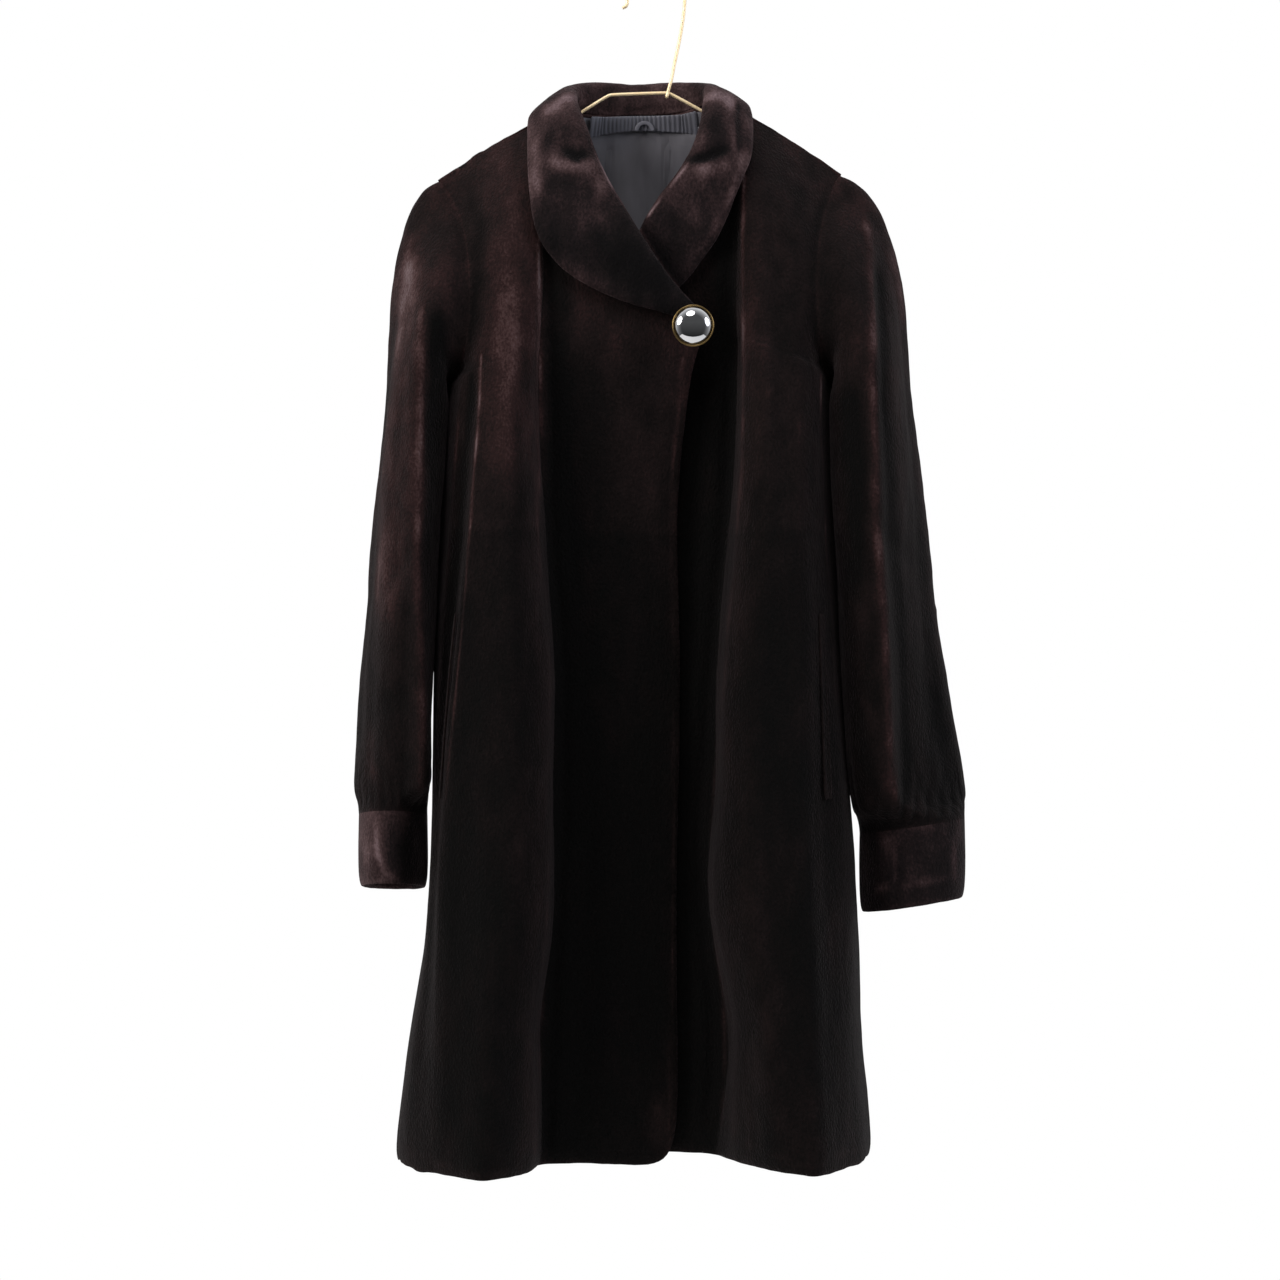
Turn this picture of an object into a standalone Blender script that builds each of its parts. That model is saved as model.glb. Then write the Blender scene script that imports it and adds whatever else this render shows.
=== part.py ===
"""Sheared mink coat on a thin wire hanger, hanging still.

Metres, +Z up. The origin is the inside top of the hanger's hook, where a rail
would carry it. The coat faces -Y. The tables below are in millimetres:
    out   distance from the coat's centre plane, toward the panel's own side
    fwd   distance in front of the hanger's plane (negative is behind it)
    drop  distance below the inside top of the hook
The wearer's right front closes over the left front at one large button.
"""
import math

import bmesh
import bpy
import numpy as np

MM = 0.001
CENTRE_X = -14.4  # the coat hangs this far to one side of the hook
RIGHT, LEFT = -1, 1  # the wearer's sides; the wearer's right is at -X
SEAM_GAP = 0.5  # between pieces that a seam joins
PELT = 6.5  # skin, interlining and sheared pile of the body
SLEEVE_PELT = 6.0
CUFF_PELT = 6.5
LINING_GAP = 1.0
SATIN = 1.2
RING = 20  # points round an armhole, a sleeve and a cuff
ARMHOLE_STEPS = RING // 2

# Each front: a row for each section. drop at the front edge and at the side,
# then (out, fwd) of eight folds from the front edge to the side.
# edge, foot and crest of the inner fold wall, face, turn and tuck of the
# outer fold wall, ridge, side seam or armhole.
FOLD_AT = (0.0, 0.25, 0.37, 0.5, 0.65, 0.75, 0.87, 1.0)
RIGHT_FRONT = (
    ("hem", 1059, 1059, (-24, 31), (84, 36), (97, 80), (132, 113), (165, 92), (193, 66), (212, 36), (220, 0)),
    ("sweep", 1000, 1000, (-27, 32), (84, 36), (93, 78), (128, 112), (172, 90), (190, 68), (206, 44), (213, 0)),
    ("low", 925, 925, (-27, 33), (86, 36), (95, 78), (126, 112), (176, 86), (186, 66), (197, 48), (202.5, 0)),
    ("curl", 852, 852, (-27, 34), (73, 36), (82, 76), (118, 110), (176, 80), (181, 64), (187, 50), (191, 0)),
    ("thigh", 740, 740, (-29, 35), (74, 37), (82, 76), (116, 108), (171, 84), (175, 66), (182, 52), (187, 0)),
    ("hip", 650, 650, (-31, 36), (72, 38), (80, 76), (114, 106), (164, 92), (168, 70), (177, 56), (186, 0)),
    ("waist", 584, 584, (-30, 37), (76, 39), (85, 75), (114, 104), (157, 94), (162, 72), (173, 58), (185, 0)),
    ("join", 507, 507, (-28, 39), (81, 41), (89, 74), (114, 100), (148, 93), (153, 72), (166, 60), (183, 0)),
    ("rib", 440, 445, (-31, 42), (84, 44), (94, 74), (114, 96), (141, 88), (151, 71), (163, 60), (180, 0)),
    ("bust", 352, 405, (-42, 53), (86, 50), (96, 74), (114, 88), (138, 82), (148, 69), (160, 60), (178, 0)),
    ("under", 318, 378, (-54, 58), (86, 53), (95, 70), (112, 80), (133, 77), (144, 68), (155, 61), (177, 0)),
    ("arm_low", 304, 366, (-24, 57), (85, 53), (94, 67), (110, 76), (127, 74), (137, 69), (147, 62), (161, 34)),
    ("arm_front", 280, 338, (8, 54), (84, 53), (92, 64), (108, 71), (122, 70), (132, 66), (141, 61), (153, 54)),
    ("chest", 245, 302, (38, 50), (82, 51), (90, 59), (104, 64), (120, 63), (129, 61), (138, 58), (150, 55)),
    ("yoke", 205, 262, (62, 41), (84, 46), (93, 51), (106, 54), (122, 53), (131, 51), (141, 49), (152, 45)),
    ("blade", 163, 223, (73, 26), (88, 31), (98, 33), (112, 34), (128, 32), (138, 30), (149, 28), (161, 24)),
    ("shoulder", 127, 187, (72, 0), (85, 0), (98, 0), (115, 0), (135, 0), (147, 0), (162, 0), (181, 0)),
)
LEFT_FRONT = (
    ("hem", 1051, 1054, (-25, 16), (62, 26), (86, 66), (116, 104), (150, 122), (174, 96), (196, 56), (208, 0)),
    ("sweep", 985, 985, (-25, 18), (74, 26), (86, 72), (116, 111), (150, 116), (172, 96), (191, 60), (202, 0)),
    ("low", 915, 915, (-25, 18), (74, 26), (86, 76), (114, 112), (148, 112), (168, 94), (188, 60), (198, 0)),
    ("curl", 838, 838, (-25, 20), (56, 27), (64, 74), (100, 110), (145, 109), (164, 90), (186, 60), (195.5, 0)),
    ("thigh", 740, 740, (-25, 21), (64, 28), (73, 74), (104, 108), (142, 103), (161, 84), (180, 60), (189, 0)),
    ("hip", 650, 650, (-26, 22), (66, 29), (74, 74), (106, 106), (140, 100), (158, 80), (172, 58), (183, 0)),
    ("waist", 584, 584, (-26, 23), (69, 30), (78, 74), (108, 104), (140, 98), (156, 78), (168, 58), (180, 0)),
    ("join", 507, 507, (-26, 25), (77, 31), (85, 74), (110, 100), (138, 95), (152, 80), (162, 62), (177, 0)),
    ("rib", 440, 440, (-26, 27), (81, 32), (89, 72), (112, 94), (138, 89), (150, 77), (160, 61), (175, 0)),
    ("bust", 352, 400, (-26, 29), (83, 34), (91, 68), (112, 87), (138, 83), (149, 73), (159, 60), (174, 0)),
    ("under", 304, 373, (-25, 29), (84, 37), (92, 65), (110, 80), (136, 78), (147, 70), (157, 59), (173, 0)),
    ("arm_low", 292, 361, (-3, 31), (84, 39), (92, 62), (110, 76), (131, 74), (141, 68), (151, 60), (163, 33)),
    ("arm_front", 268, 333, (22, 34), (83, 42), (92, 58), (109, 70), (129, 69), (138, 65), (147, 60), (158, 53)),
    ("chest", 236, 297, (42, 38), (84, 44), (92, 55), (107, 63), (126, 62), (135, 60), (144, 57), (155, 54)),
    ("yoke", 198, 257, (60, 37), (86, 43), (95, 49), (109, 53), (126, 52), (136, 50), (145, 48), (157, 44)),
    ("blade", 156, 218, (73, 24), (90, 30), (100, 32), (114, 33), (131, 31), (142, 29), (153, 27), (165, 24)),
    ("shoulder", 119, 182, (72, 0), (87, 0), (100, 0), (117, 0), (138, 0), (150, 0), (163, 0), (180, 0)),
)
# The back: (side out, side drop, neck drop) on the right and on the left,
# drop at the centre, then the distance behind the hanger's plane at the side,
# blade, fold, neck, flute and centre.
BACK_AT = (1.0, 0.85, 0.62, 0.4, 0.2, 0.0)  # of the half width
BACK = (
    ("hem", (220, 1059, 1058), (208, 1054, 1055), 1056, (0, 60, 92, 66, 62, 86)),
    ("sweep", (213, 1000, 1000), (202, 985, 992), 996, (0, 60, 88, 66, 61, 82)),
    ("low", (202.5, 925, 925), (198, 915, 920), 922, (0, 58, 84, 66, 60, 77)),
    ("curl", (191, 852, 848), (195.5, 838, 842), 845, (0, 56, 80, 65, 59, 73)),
    ("thigh", (187, 740, 740), (189, 740, 740), 740, (0, 54, 76, 64, 58, 68)),
    ("hip", (186, 650, 650), (183, 650, 650), 650, (0, 53, 72, 63, 57, 64)),
    ("waist", (185, 584, 584), (180, 584, 584), 584, (0, 52, 69, 62, 56, 61)),
    ("join", (183, 507, 507), (177, 507, 507), 507, (0, 51, 66, 61, 55, 59)),
    ("rib", (180, 445, 442), (175, 440, 441), 441, (0, 50, 64, 61, 55, 57)),
    ("bust", (178, 405, 396), (174, 400, 394), 394, (0, 50, 63, 60, 54, 56)),
    ("under", (177, 378, 350), (173, 373, 347), 345, (0, 51, 63, 60, 54, 55)),
    ("arm_low", (171, 366, 328), (167, 361, 325), 320, (30, 54, 62, 60, 54, 54)),
    ("arm_back", (168, 338, 292), (164, 333, 289), 282, (46, 56, 60, 58, 53, 52)),
    ("chest", (168, 302, 250), (164, 297, 246), 238, (47, 53, 56, 55, 50, 49)),
    ("yoke", (172, 262, 205), (168, 257, 200), 192, (39, 42, 45, 46, 45, 44)),
    ("blade", (177, 223, 163), (174, 218, 157), 150, (23, 26, 28, 31, 35, 36)),
    ("shoulder", (181, 187, 127), (180, 182, 119), 126, (0, 0, 0, 0, 24, 30)),
)
SHOULDER_CURVE = {RIGHT: 4.5, LEFT: 5.0}  # how far the seam bows up
UNDER_ROW = 10  # the row that ends at the underarm, in all three tables
JOIN_ROW = 7  # the row where the upper and lower pelts are joined

# Each sleeve: drop, outer side, (out, fwd) of the outer front, of the front
# ridge and of the inner front, inner side, (out, fwd) of the back.
RIGHT_SLEEVE = (
    (400, 229, (218, 58), (193, 80), (170, 48), 181.5, (206, -72)),
    (480, 238, (224, 62), (193, 86), (174, 50), 184, (208, -78)),
    (574, 246, (230, 62), (193, 85), (178.5, 48), 187, (212, -80)),
    (650, 253, (235, 58), (192, 80), (182.5, 43), 188.5, (216, -76)),
    (700, 256, (237, 54), (190, 75), (184.5, 40), 189, (218, -71)),
    (735, 257, (239, 50), (189, 69), (186, 38), 189.5, (220, -66)),
    (758, 254, (238, 46), (190, 62), (187.5, 35), 190, (220, -58)),
)
LEFT_SLEEVE = (
    (400, 245, (226, 58), (202, 82), (167, 52), 177, (212, -72)),
    (480, 256, (229, 60), (202, 88), (169.5, 54), 179, (216, -78)),
    (574, 267, (230, 60), (208, 87), (175, 51), 182.5, (222, -80)),
    (650, 279, (233, 58), (212, 83), (179, 48), 186, (228, -77)),
    (700, 287, (236, 55), (212, 79), (183, 46), 189, (232, -71)),
    (745, 293, (243, 52), (221, 69), (190, 42), 193, (237, -62)),
    (772, 292, (252, 48), (226, 60), (196, 38), 196, (242, -53)),
)
SLEEVE_JOIN = 574
# A cuff: outer and inner side, front and back (fwd), drop of its upper edge,
# height, and how far it dips for each millimetre toward the back and inward.
RIGHT_CUFF = (252, 191, 58, -46, 759, 56, 0.14, 0.0)
LEFT_CUFF = (291, 197, 51, -34, 768, 62, 0.04, 0.15)
# The sleeve cap leaves the armhole this far outward and down, and turns this
# far down into the sleeve: at the top, the front, the underarm and the back.
CAP_OUT = {RIGHT: (148, 105, 34, 105), LEFT: (194, 108, 34, 105)}
CAP_DOWN = (52, -10, -8, -10)
CAP_TURN = (190, 130, 44, 130)

# Each half of the collar, from the centre back to its tip: the neck seam, the
# roll line and the free edge as (out, fwd, drop) in the middle of the fur,
# then half the distance between stand and fall, and the thickness.
RIGHT_COLLAR = (
    ((0.3, -27.4, 125), (0.3, -35, 97), (0.3, -48, 160), 7.0, 6.5),
    ((30, -25, 125), (30, -32, 97), (37, -47, 160), 7.0, 6.5),
    ((54, -14, 124), (51, -22, 99), (73, -36, 157), 7.0, 6.5),
    ((66, -2, 121), (59.5, -6, 107), (94, -15, 137), 7.0, 6.5),
    ((67.5, 8, 130), (59, 4, 113), (97, 1, 131.5), 7.0, 6.5),
    ((69, 17, 140), (58, 14, 122), (99, 19, 145), 7.0, 6.5),
    ((69, 31, 159), (52, 27, 141), (98, 38, 175), 7.0, 6.5),
    ((61, 46, 200), (39, 42, 178), (95, 54, 208), 7.0, 6.5),
    ((42, 54, 238), (23, 52, 210), (88, 63, 242), 7.0, 6.5),
    ((17, 59, 268), (5, 61, 241), (68, 64, 272), 6.5, 6.5),
    ((-10, 62, 291), (-11, 68, 266), (38, 63, 292), 5.5, 6.0),
    ((-34, 65, 306), (-26, 71, 288), (6, 66, 306), 4.5, 5.5),
    ((-47, 66, 315), (-38, 71, 301), (-20, 68, 313), 3.8, 5.0),
    ((-55, 67, 323), (-49, 71, 312), (-39, 69, 320), 3.0, 4.0),
)
LEFT_COLLAR = (
    ((0.3, -27.4, 125), (0.3, -35, 97), (0.3, -48, 160), 7.0, 6.5),
    ((30, -25, 123.5), (31, -32, 97), (37, -47, 160), 7.0, 6.5),
    ((54, -14, 119.5), (54, -21, 99), (73, -36, 156), 7.0, 6.5),
    ((61, -8, 118), (60.5, -6, 104), (92, -15, 131), 6.3, 6.0),
    ((65, -1, 120.5), (60, 4, 109), (96, 1, 123), 6.3, 6.0),
    ((66, 9, 128), (59.5, 14, 119), (99, 18, 139), 6.5, 6.2),
    ((68, 26, 148), (57, 26, 140), (98, 36, 167), 7.0, 6.5),
    ((61, 42, 193), (47, 37, 171), (88, 48, 195), 7.0, 6.5),
    ((45, 43, 228), (29, 41, 198), (79, 52, 217), 6.0, 6.5),
    ((29, 40, 253), (13, 42, 219), (69, 53, 240), 5.0, 6.0),
    ((17, 38, 268), (3, 42, 238), (54, 48, 263), 4.2, 5.5),
    ((6, 38, 282), (-4, 42, 251), (38, 44, 283), 3.4, 5.0),
    ((-4, 37, 292), (-11, 41, 264), (24, 42, 297), 2.8, 4.5),
)

# The hanger: a bent wire with its hook, (x from the coat's centre, drop).
WIRE = 1.5  # radius
RIGHT_ARM = (
    (-187, 208.1), (-184, 202.6), (-178, 198.1), (-72, 138.1), (-60, 131),
    (-49.5, 124.2), (-29.5, 112), (-26, 110.9),
)
BAR = ((-25.3, 110.6), (23, 108.9))
LEFT_ARM = (
    (23.8, 109.15), (28, 110.2), (54.9, 124.5), (72, 134.5), (172, 193),
    (178, 197.5), (181, 203),
)
STEM = ((23.8, 114), (25.6, 107), (27.9, 99), (30.8, 84), (36, 59), (39, 40))
STEM_LIFT = (1, 1, 1, 0.5, 0, 0)  # the stem's foot passes in front of the bar
HOOK_RADIUS = 26.0

# The button: centre, drop, fwd of its back, radius, height of its dome.
BUTTON_X, BUTTON_DROP, BUTTON_FWD = 46.3, 327.0, 76.5
BUTTON_RADIUS = 18.4
BUTTON_DOME = 8.0
RIM = 1.1  # radius of the bead round it

# Neck band: it stands this high round the inside of the back neck.
BAND_HIGH = 12.5
BAND_RISE = 3.0
BAND_INSET = 0.058  # of the back's width, at each end
PLEATS = 26
PLEAT_DEEP = 0.9
BAND_DEEP = PELT + SATIN + 3.6 * LINING_GAP  # from the fur's face to the band
LOOP_X, LOOP_HALF, LOOP_DROP, LOOP_RISE, LOOP_RADIUS = 4.5, 9.0, 135.5, 7.5, 1.1
LINING_DROP = 330.0  # the lining is built down to here, where it shows
POCKET_TOP, POCKET_LONG, POCKET_WIDE = 581.0, 156.0, 8.0


# ---------------------------------------------------------------- curves
def slopes(knots, values):
    """Slopes of a cubic through the values that never swings past them."""
    step = np.diff(knots)[:, None]
    rise = np.diff(values, axis=0) / step
    out = np.zeros_like(values)
    out[0] = rise[0]
    out[-1] = rise[-1]
    before, after = rise[:-1], rise[1:]
    turn = before * after > 1e-12
    w1 = 2 * step[1:] + step[:-1]
    w2 = step[1:] + 2 * step[:-1]
    safe_before = np.where(turn, before, 1.0)
    safe_after = np.where(turn, after, 1.0)
    mean = (w1 + w2) / (w1 / safe_before + w2 / safe_after)
    out[1:-1] = np.where(turn, mean, 0.0)
    return out


class Track:
    """A smooth curve through a table's column."""

    def __init__(self, knots, values):
        self.knots = np.asarray(knots, float)
        values = np.asarray(values, float)
        self.values = values.reshape(len(self.knots), -1)
        self.slopes = slopes(self.knots, self.values)

    def __call__(self, at):
        at = min(max(at, self.knots[0]), self.knots[-1])
        i = int(np.searchsorted(self.knots, at, side="right")) - 1
        i = min(i, len(self.knots) - 2)
        step = self.knots[i + 1] - self.knots[i]
        t = (at - self.knots[i]) / step
        a, b = self.values[i], self.values[i + 1]
        p, q = self.slopes[i] * step, self.slopes[i + 1] * step
        return (
            (2 * t**3 - 3 * t**2 + 1) * a
            + (t**3 - 2 * t**2 + t) * p
            + (3 * t**2 - 2 * t**3) * b
            + (t**3 - t**2) * q
        )


def round_curve(points, at):
    """A rounder cubic through evenly spaced points, at in 0 to len - 1."""
    points = np.asarray(points, float)
    last = len(points) - 1
    i = min(int(at), last - 1)
    t = at - i
    a, b = points[i], points[i + 1]
    before = points[i - 1] if i else 2 * a - b
    after = points[i + 2] if i + 2 <= last else 2 * b - a
    p, q = (b - before) / 2, (after - a) / 2
    return (
        (2 * t**3 - 3 * t**2 + 1) * a
        + (t**3 - 2 * t**2 + t) * p
        + (3 * t**2 - 2 * t**3) * b
        + (t**3 - t**2) * q
    )


def closed_curve(points, at):
    """The same round a closed ring, at in turns."""
    points = np.asarray(points, float)
    count = len(points)
    at = (at % 1.0) * count
    i = int(at) % count
    t = at - int(at)
    before, a, b, after = (points[(i + k) % count] for k in (-1, 0, 1, 2))
    p, q = (b - before) / 2, (after - a) / 2
    return (
        (2 * t**3 - 3 * t**2 + 1) * a
        + (t**3 - 2 * t**2 + t) * p
        + (3 * t**2 - 2 * t**3) * b
        + (t**3 - t**2) * q
    )


def round_table(values, turn):
    """A value given at the top, front, underarm and back, at any turn."""
    at = (turn % 1.0) * 4
    i = int(at) % 4
    ease = 0.5 - 0.5 * math.cos(math.pi * (at - int(at)))
    return values[i] + (values[(i + 1) % 4] - values[i]) * ease


def ramp(value, low, high):
    t = min(max((value - low) / (high - low), 0.0), 1.0)
    return t * t * (3 - 2 * t)


def place(side, out, fwd, drop):
    return np.array([CENTRE_X + side * out, -fwd, -drop])


def unit(vector):
    return vector / np.linalg.norm(vector)


# ---------------------------------------------------------------- surfaces
class Surface:
    """A piece's outer face: a point for each u (across) and v (up)."""

    STEP = 1e-4
    facing = 1.0

    def normal(self, u, v):
        h = self.STEP
        across = self.point(u + h, v) - self.point(u - h, v)
        up = self.point(u, v + h) - self.point(u, v - h)
        return unit(np.cross(across, up)) * self.facing


class Panel(Surface):
    """A body panel from its table; v runs with the length of its side."""

    def __init__(self, knots_u, rows, side_column):
        self.knots_u = knots_u
        rows = np.asarray(rows, float)  # row, column, (x, y, z)
        side = rows[:, side_column]
        walk = np.r_[0, np.cumsum(np.linalg.norm(np.diff(side, axis=0), axis=1))]
        self.length = walk[-1]
        self.knots_v = walk / walk[-1]
        self.folds = Track(self.knots_v, rows.reshape(len(rows), -1))
        self.columns = rows.shape[1]
        self.under = self.knots_v[UNDER_ROW]
        self.join = self.knots_v[JOIN_ROW]

    def point(self, u, v):
        section = self.folds(v).reshape(self.columns, 3)
        return Track(self.knots_u, section)(u)

    def v_at(self, turn):
        """The height along the armhole, turn 0 at the top, 0.5 beneath."""
        return 1 - (1 - self.under) * min(turn, 1 - turn) * 2


def armhole_normal(side, turn):
    """The way the pelts face where the sleeve is set in."""
    angle = turn * 2 * math.pi
    return unit(np.array([0.45 * side, -math.sin(angle), math.cos(angle)]))


def shoulder_bow(side, share):
    return SHOULDER_CURVE[side] * math.sin(math.pi * share)


class Front(Panel):
    def __init__(self, side, table):
        self.side = side
        self.facing = float(side)
        rows = []
        for name, drop_edge, drop_side, *folds in table:
            first, last = folds[0][0], folds[-1][0]
            row = []
            for out, fwd in folds:
                share = (out - first) / (last - first)
                drop = drop_edge + (drop_side - drop_edge) * share
                if name == "shoulder":
                    drop -= shoulder_bow(side, share)
                row.append(place(side, out, max(fwd, SEAM_GAP / 2), drop))
            rows.append(row)
        super().__init__(FOLD_AT, rows, len(FOLD_AT) - 1)

    def normal(self, u, v):
        if u == 1 and v >= self.under:
            return armhole_normal(self.side, 0.5 * (1 - v) / (1 - self.under))
        if u == 1:
            up = self.point(1, v + 1e-3) - self.point(1, v - 1e-3)
            return seam_normal(up, (self.side, 0, 0))
        if v == 1:
            along = self.point(u + 1e-3, 1) - self.point(u - 1e-3, 1)
            return seam_normal(along, (0, 0, 1))
        return super().normal(u, v)


def seam_normal(along, toward):
    """Square to a seam in the hanger's plane, so both sides agree."""
    across = unit(np.cross(along, (0.0, 1.0, 0.0)))
    return across if np.dot(across, toward) > 0 else -across


class Back(Panel):
    facing = -1.0

    def __init__(self):
        halves = [-share for share in BACK_AT] + list(BACK_AT[-2::-1])
        knots_u = [0.5 + 0.5 * share for share in halves]
        rows = []
        for name, right, left, centre, depths in BACK:
            row = []
            for share in halves:
                wide, drop_side, drop_neck = right if share < 0 else left
                depth = depths[BACK_AT.index(abs(share))]
                neck = BACK_AT[3]
                if abs(share) >= neck:
                    rise = (abs(share) - neck) / (1 - neck)
                    drop = drop_neck + (drop_side - drop_neck) * rise
                    if name == "shoulder":
                        drop -= shoulder_bow(RIGHT if share < 0 else LEFT, rise)
                else:
                    drop = centre + (drop_neck - centre) * (abs(share) / neck) ** 2
                depth = max(depth, SEAM_GAP / 2)
                row.append(place(1, share * wide, -depth, drop))
            rows.append(row)
        self.neck_u = (knots_u[3], knots_u[-4])
        self.neck_width = BACK[-1][1][0] + BACK[-1][2][0]  # side to side up there
        super().__init__(knots_u, rows, 0)

    def normal(self, u, v):
        if u in (0, 1):
            side = RIGHT if u == 0 else LEFT
            if v >= self.under:
                return armhole_normal(side, 1 - 0.5 * (1 - v) / (1 - self.under))
            up = self.point(u, v + 1e-3) - self.point(u, v - 1e-3)
            return seam_normal(up, (side, 0, 0))
        if v == 1 and not self.neck_u[0] < u < self.neck_u[1]:
            along = self.point(u + 1e-3, 1) - self.point(u - 1e-3, 1)
            return seam_normal(along, (0, 0, 1))
        return super().normal(u, v)


class Sleeve(Surface):
    """u is turns round the sleeve, v is 0 to 1 over the cap, then drop."""

    CAP_END = 400.0

    def __init__(self, side, front, back, table, cuff):
        self.side, self.front, self.back, self.cuff = side, front, back, cuff
        self.back_u = 0 if side == RIGHT else 1
        self.facing = -float(side)
        flat = [
            [outer, *a, *b, *c, inner, *d]
            for _, outer, a, b, c, inner, d in table
        ]
        self.table = Track([row[0] for row in table], flat)
        self.end = cuff[4] - SEAM_GAP - 0.3

    def armhole(self, turn):
        turn = turn % 1.0
        if turn <= 0.5:
            edge = self.front.point(1, self.front.v_at(turn))
        else:
            edge = self.back.point(self.back_u, self.back.v_at(turn))
        return edge

    def tilt(self, point, share):
        """The lower end dips with its cuff."""
        dip_back, dip_in = self.cuff[6:]
        away = point - cuff_middle(self.side, self.cuff, 0)
        dip = dip_back * away[1] - dip_in * away[0] * self.side
        return point - np.array([0, 0, dip * share])

    def ring(self, turn, drop):
        """A level section of the sleeve, turn 0 outside, 0.25 in front."""
        outer, ax, ay, bx, by, cx, cy, inner, dx, dy = self.table(drop)
        points = (
            (outer, 0.08 * (by + dy)),
            (ax, ay),
            (bx, by),
            (cx, cy),
            (inner, 0.0),
            (inner + 0.1 * (outer - inner), 0.62 * dy),
            (dx, dy),
            (outer - 0.22 * (outer - inner), 0.66 * dy),
        )
        out, fwd = closed_curve(points, turn)
        point = place(self.side, out, fwd, drop)
        gather = ramp(drop, self.end - 24, self.end)
        point += (cuff_ring(self.side, self.cuff, turn, drop) - point) * gather
        return self.tilt(point, ramp(drop, 640, self.end))

    def point(self, u, v):
        if v > 1:
            return self.ring(u, v)
        start = self.armhole(u)
        way = np.array([self.side, 0.0, 0.0])
        start = start + way * SEAM_GAP * 1.2
        end = self.ring(u, self.CAP_END)
        radial = math.sin(u * 2 * math.pi)
        leave = np.array([
            self.side * round_table(CAP_OUT[self.side], u), -45 * radial,
            -round_table(CAP_DOWN, u),
        ])
        below = self.ring(u, self.CAP_END + 10) - end
        arrive = unit(below) * round_table(CAP_TURN, u)
        t = v
        return (
            (2 * t**3 - 3 * t**2 + 1) * start
            + (t**3 - 2 * t**2 + t) * leave
            + (3 * t**2 - 2 * t**3) * end
            + (t**3 - t**2) * arrive
        )

    def normal(self, u, v):
        if v == 0:
            return armhole_normal(self.side, u % 1.0)
        if v == self.end:  # the gathered edge lies in the cuff's own plane
            edge = cuff_ring(self.side, self.cuff, u, v)
            middle = cuff_middle(self.side, self.cuff, v)
            inward = self.tilt(edge - unit(edge - middle), 1.0)
            return unit(self.tilt(edge, 1.0) - inward)
        h = 1e-3
        k = h if v <= 1 else 0.1
        low = max(v - k, 0) if v <= 1 else v - k
        high = v + k if v + k <= 1 or v > 1 else v
        across = self.point(u + h, v) - self.point(u - h, v)
        down = self.point(u, high) - self.point(u, low)
        return unit(np.cross(down, across)) * self.facing


def cuff_middle(side, cuff, drop):
    outer, inner, front, back = cuff[:4]
    return place(side, (outer + inner) / 2, (front + back) / 2, drop)


def cuff_ring(side, cuff, turn, drop):
    outer, inner, front, back = cuff[:4]
    angle = turn * 2 * math.pi
    out = (outer + inner) / 2 + (outer - inner) / 2 * math.cos(angle)
    fwd = (front + back) / 2 + (front - back) / 2 * math.sin(angle)
    return place(side, out, fwd, drop)


class Collar(Surface):
    """u runs from the centre back to the tip, v from neck seam to free edge."""

    def __init__(self, side, table):
        self.side = side
        self.facing = float(side)
        self.last = len(table) - 1
        flat = [[*seam, *roll, *edge, half, thick]
                for seam, roll, edge, half, thick in table]
        self.table = Track(range(len(table)), flat)

    def row(self, u):
        row = self.table(u * self.last)
        seam, roll, edge = (place(self.side, *row[i:i + 3]) for i in (0, 3, 6))
        return seam, roll, edge, row[9], row[10]

    def thick(self, u):
        return self.row(u)[4]

    def point(self, u, v):
        u = min(max(u, 0.0), 1.0)
        seam, roll, edge, half, _ = self.row(u)
        near = self.row(abs(u - 0.02))[1]
        if u < 0.02:  # the other half mirrors this one at the centre back
            near = near * (-1, 1, 1) + (2 * CENTRE_X, 0, 0)
        far = self.row(min(u + 0.02, 1.0))[1]
        along = unit(far - near)
        fall = edge - roll
        fall = unit(fall - along * np.dot(fall, along))
        rise = unit(np.cross(fall, along)) * -self.side
        bend = min(half * 1.5, 0.4 * np.linalg.norm(edge - roll))
        top = roll + fall * bend * 0.22 - rise * half * 0.72
        over = roll + fall * bend * 0.22 + rise * half * 0.72
        down = roll + fall * bend + rise * half
        stand = (seam + top) / 2 - rise * half * 0.2
        body = (down + edge) / 2 + rise * half * 0.35
        points = (seam, stand, top, roll, over, down, body, edge)
        return round_curve(points, v * (len(points) - 1))

    def normal(self, u, v):
        h = 1e-3
        a, b = max(u - h, 0.0), min(u + h, 1.0)
        c, d = max(v - h, 0.0), min(v + h, 1.0)
        across = self.point(b, v) - self.point(a, v)
        up = self.point(u, d) - self.point(u, c)
        if u == 0:
            across = np.array([float(self.side), 0.0, 0.0])
            up[0] = 0.0
        return unit(np.cross(across, up)) * self.facing


# ---------------------------------------------------------------- solids
def make_material(name, colour, rough, metal=0.0):
    material = bpy.data.materials.new(name)
    material.use_nodes = True
    shader = material.node_tree.nodes["Principled BSDF"]
    shader.inputs["Base Color"].default_value = (*colour, 1.0)
    shader.inputs["Roughness"].default_value = rough
    shader.inputs["Metallic"].default_value = metal
    return material


def add_object(name, mesh, material):
    mesh.shade_smooth()
    mesh.set_sharp_from_angle(angle=math.radians(40))
    mesh.materials.append(material)
    thing = bpy.data.objects.new(name, mesh)
    bpy.context.scene.collection.objects.link(thing)
    return thing


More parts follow.
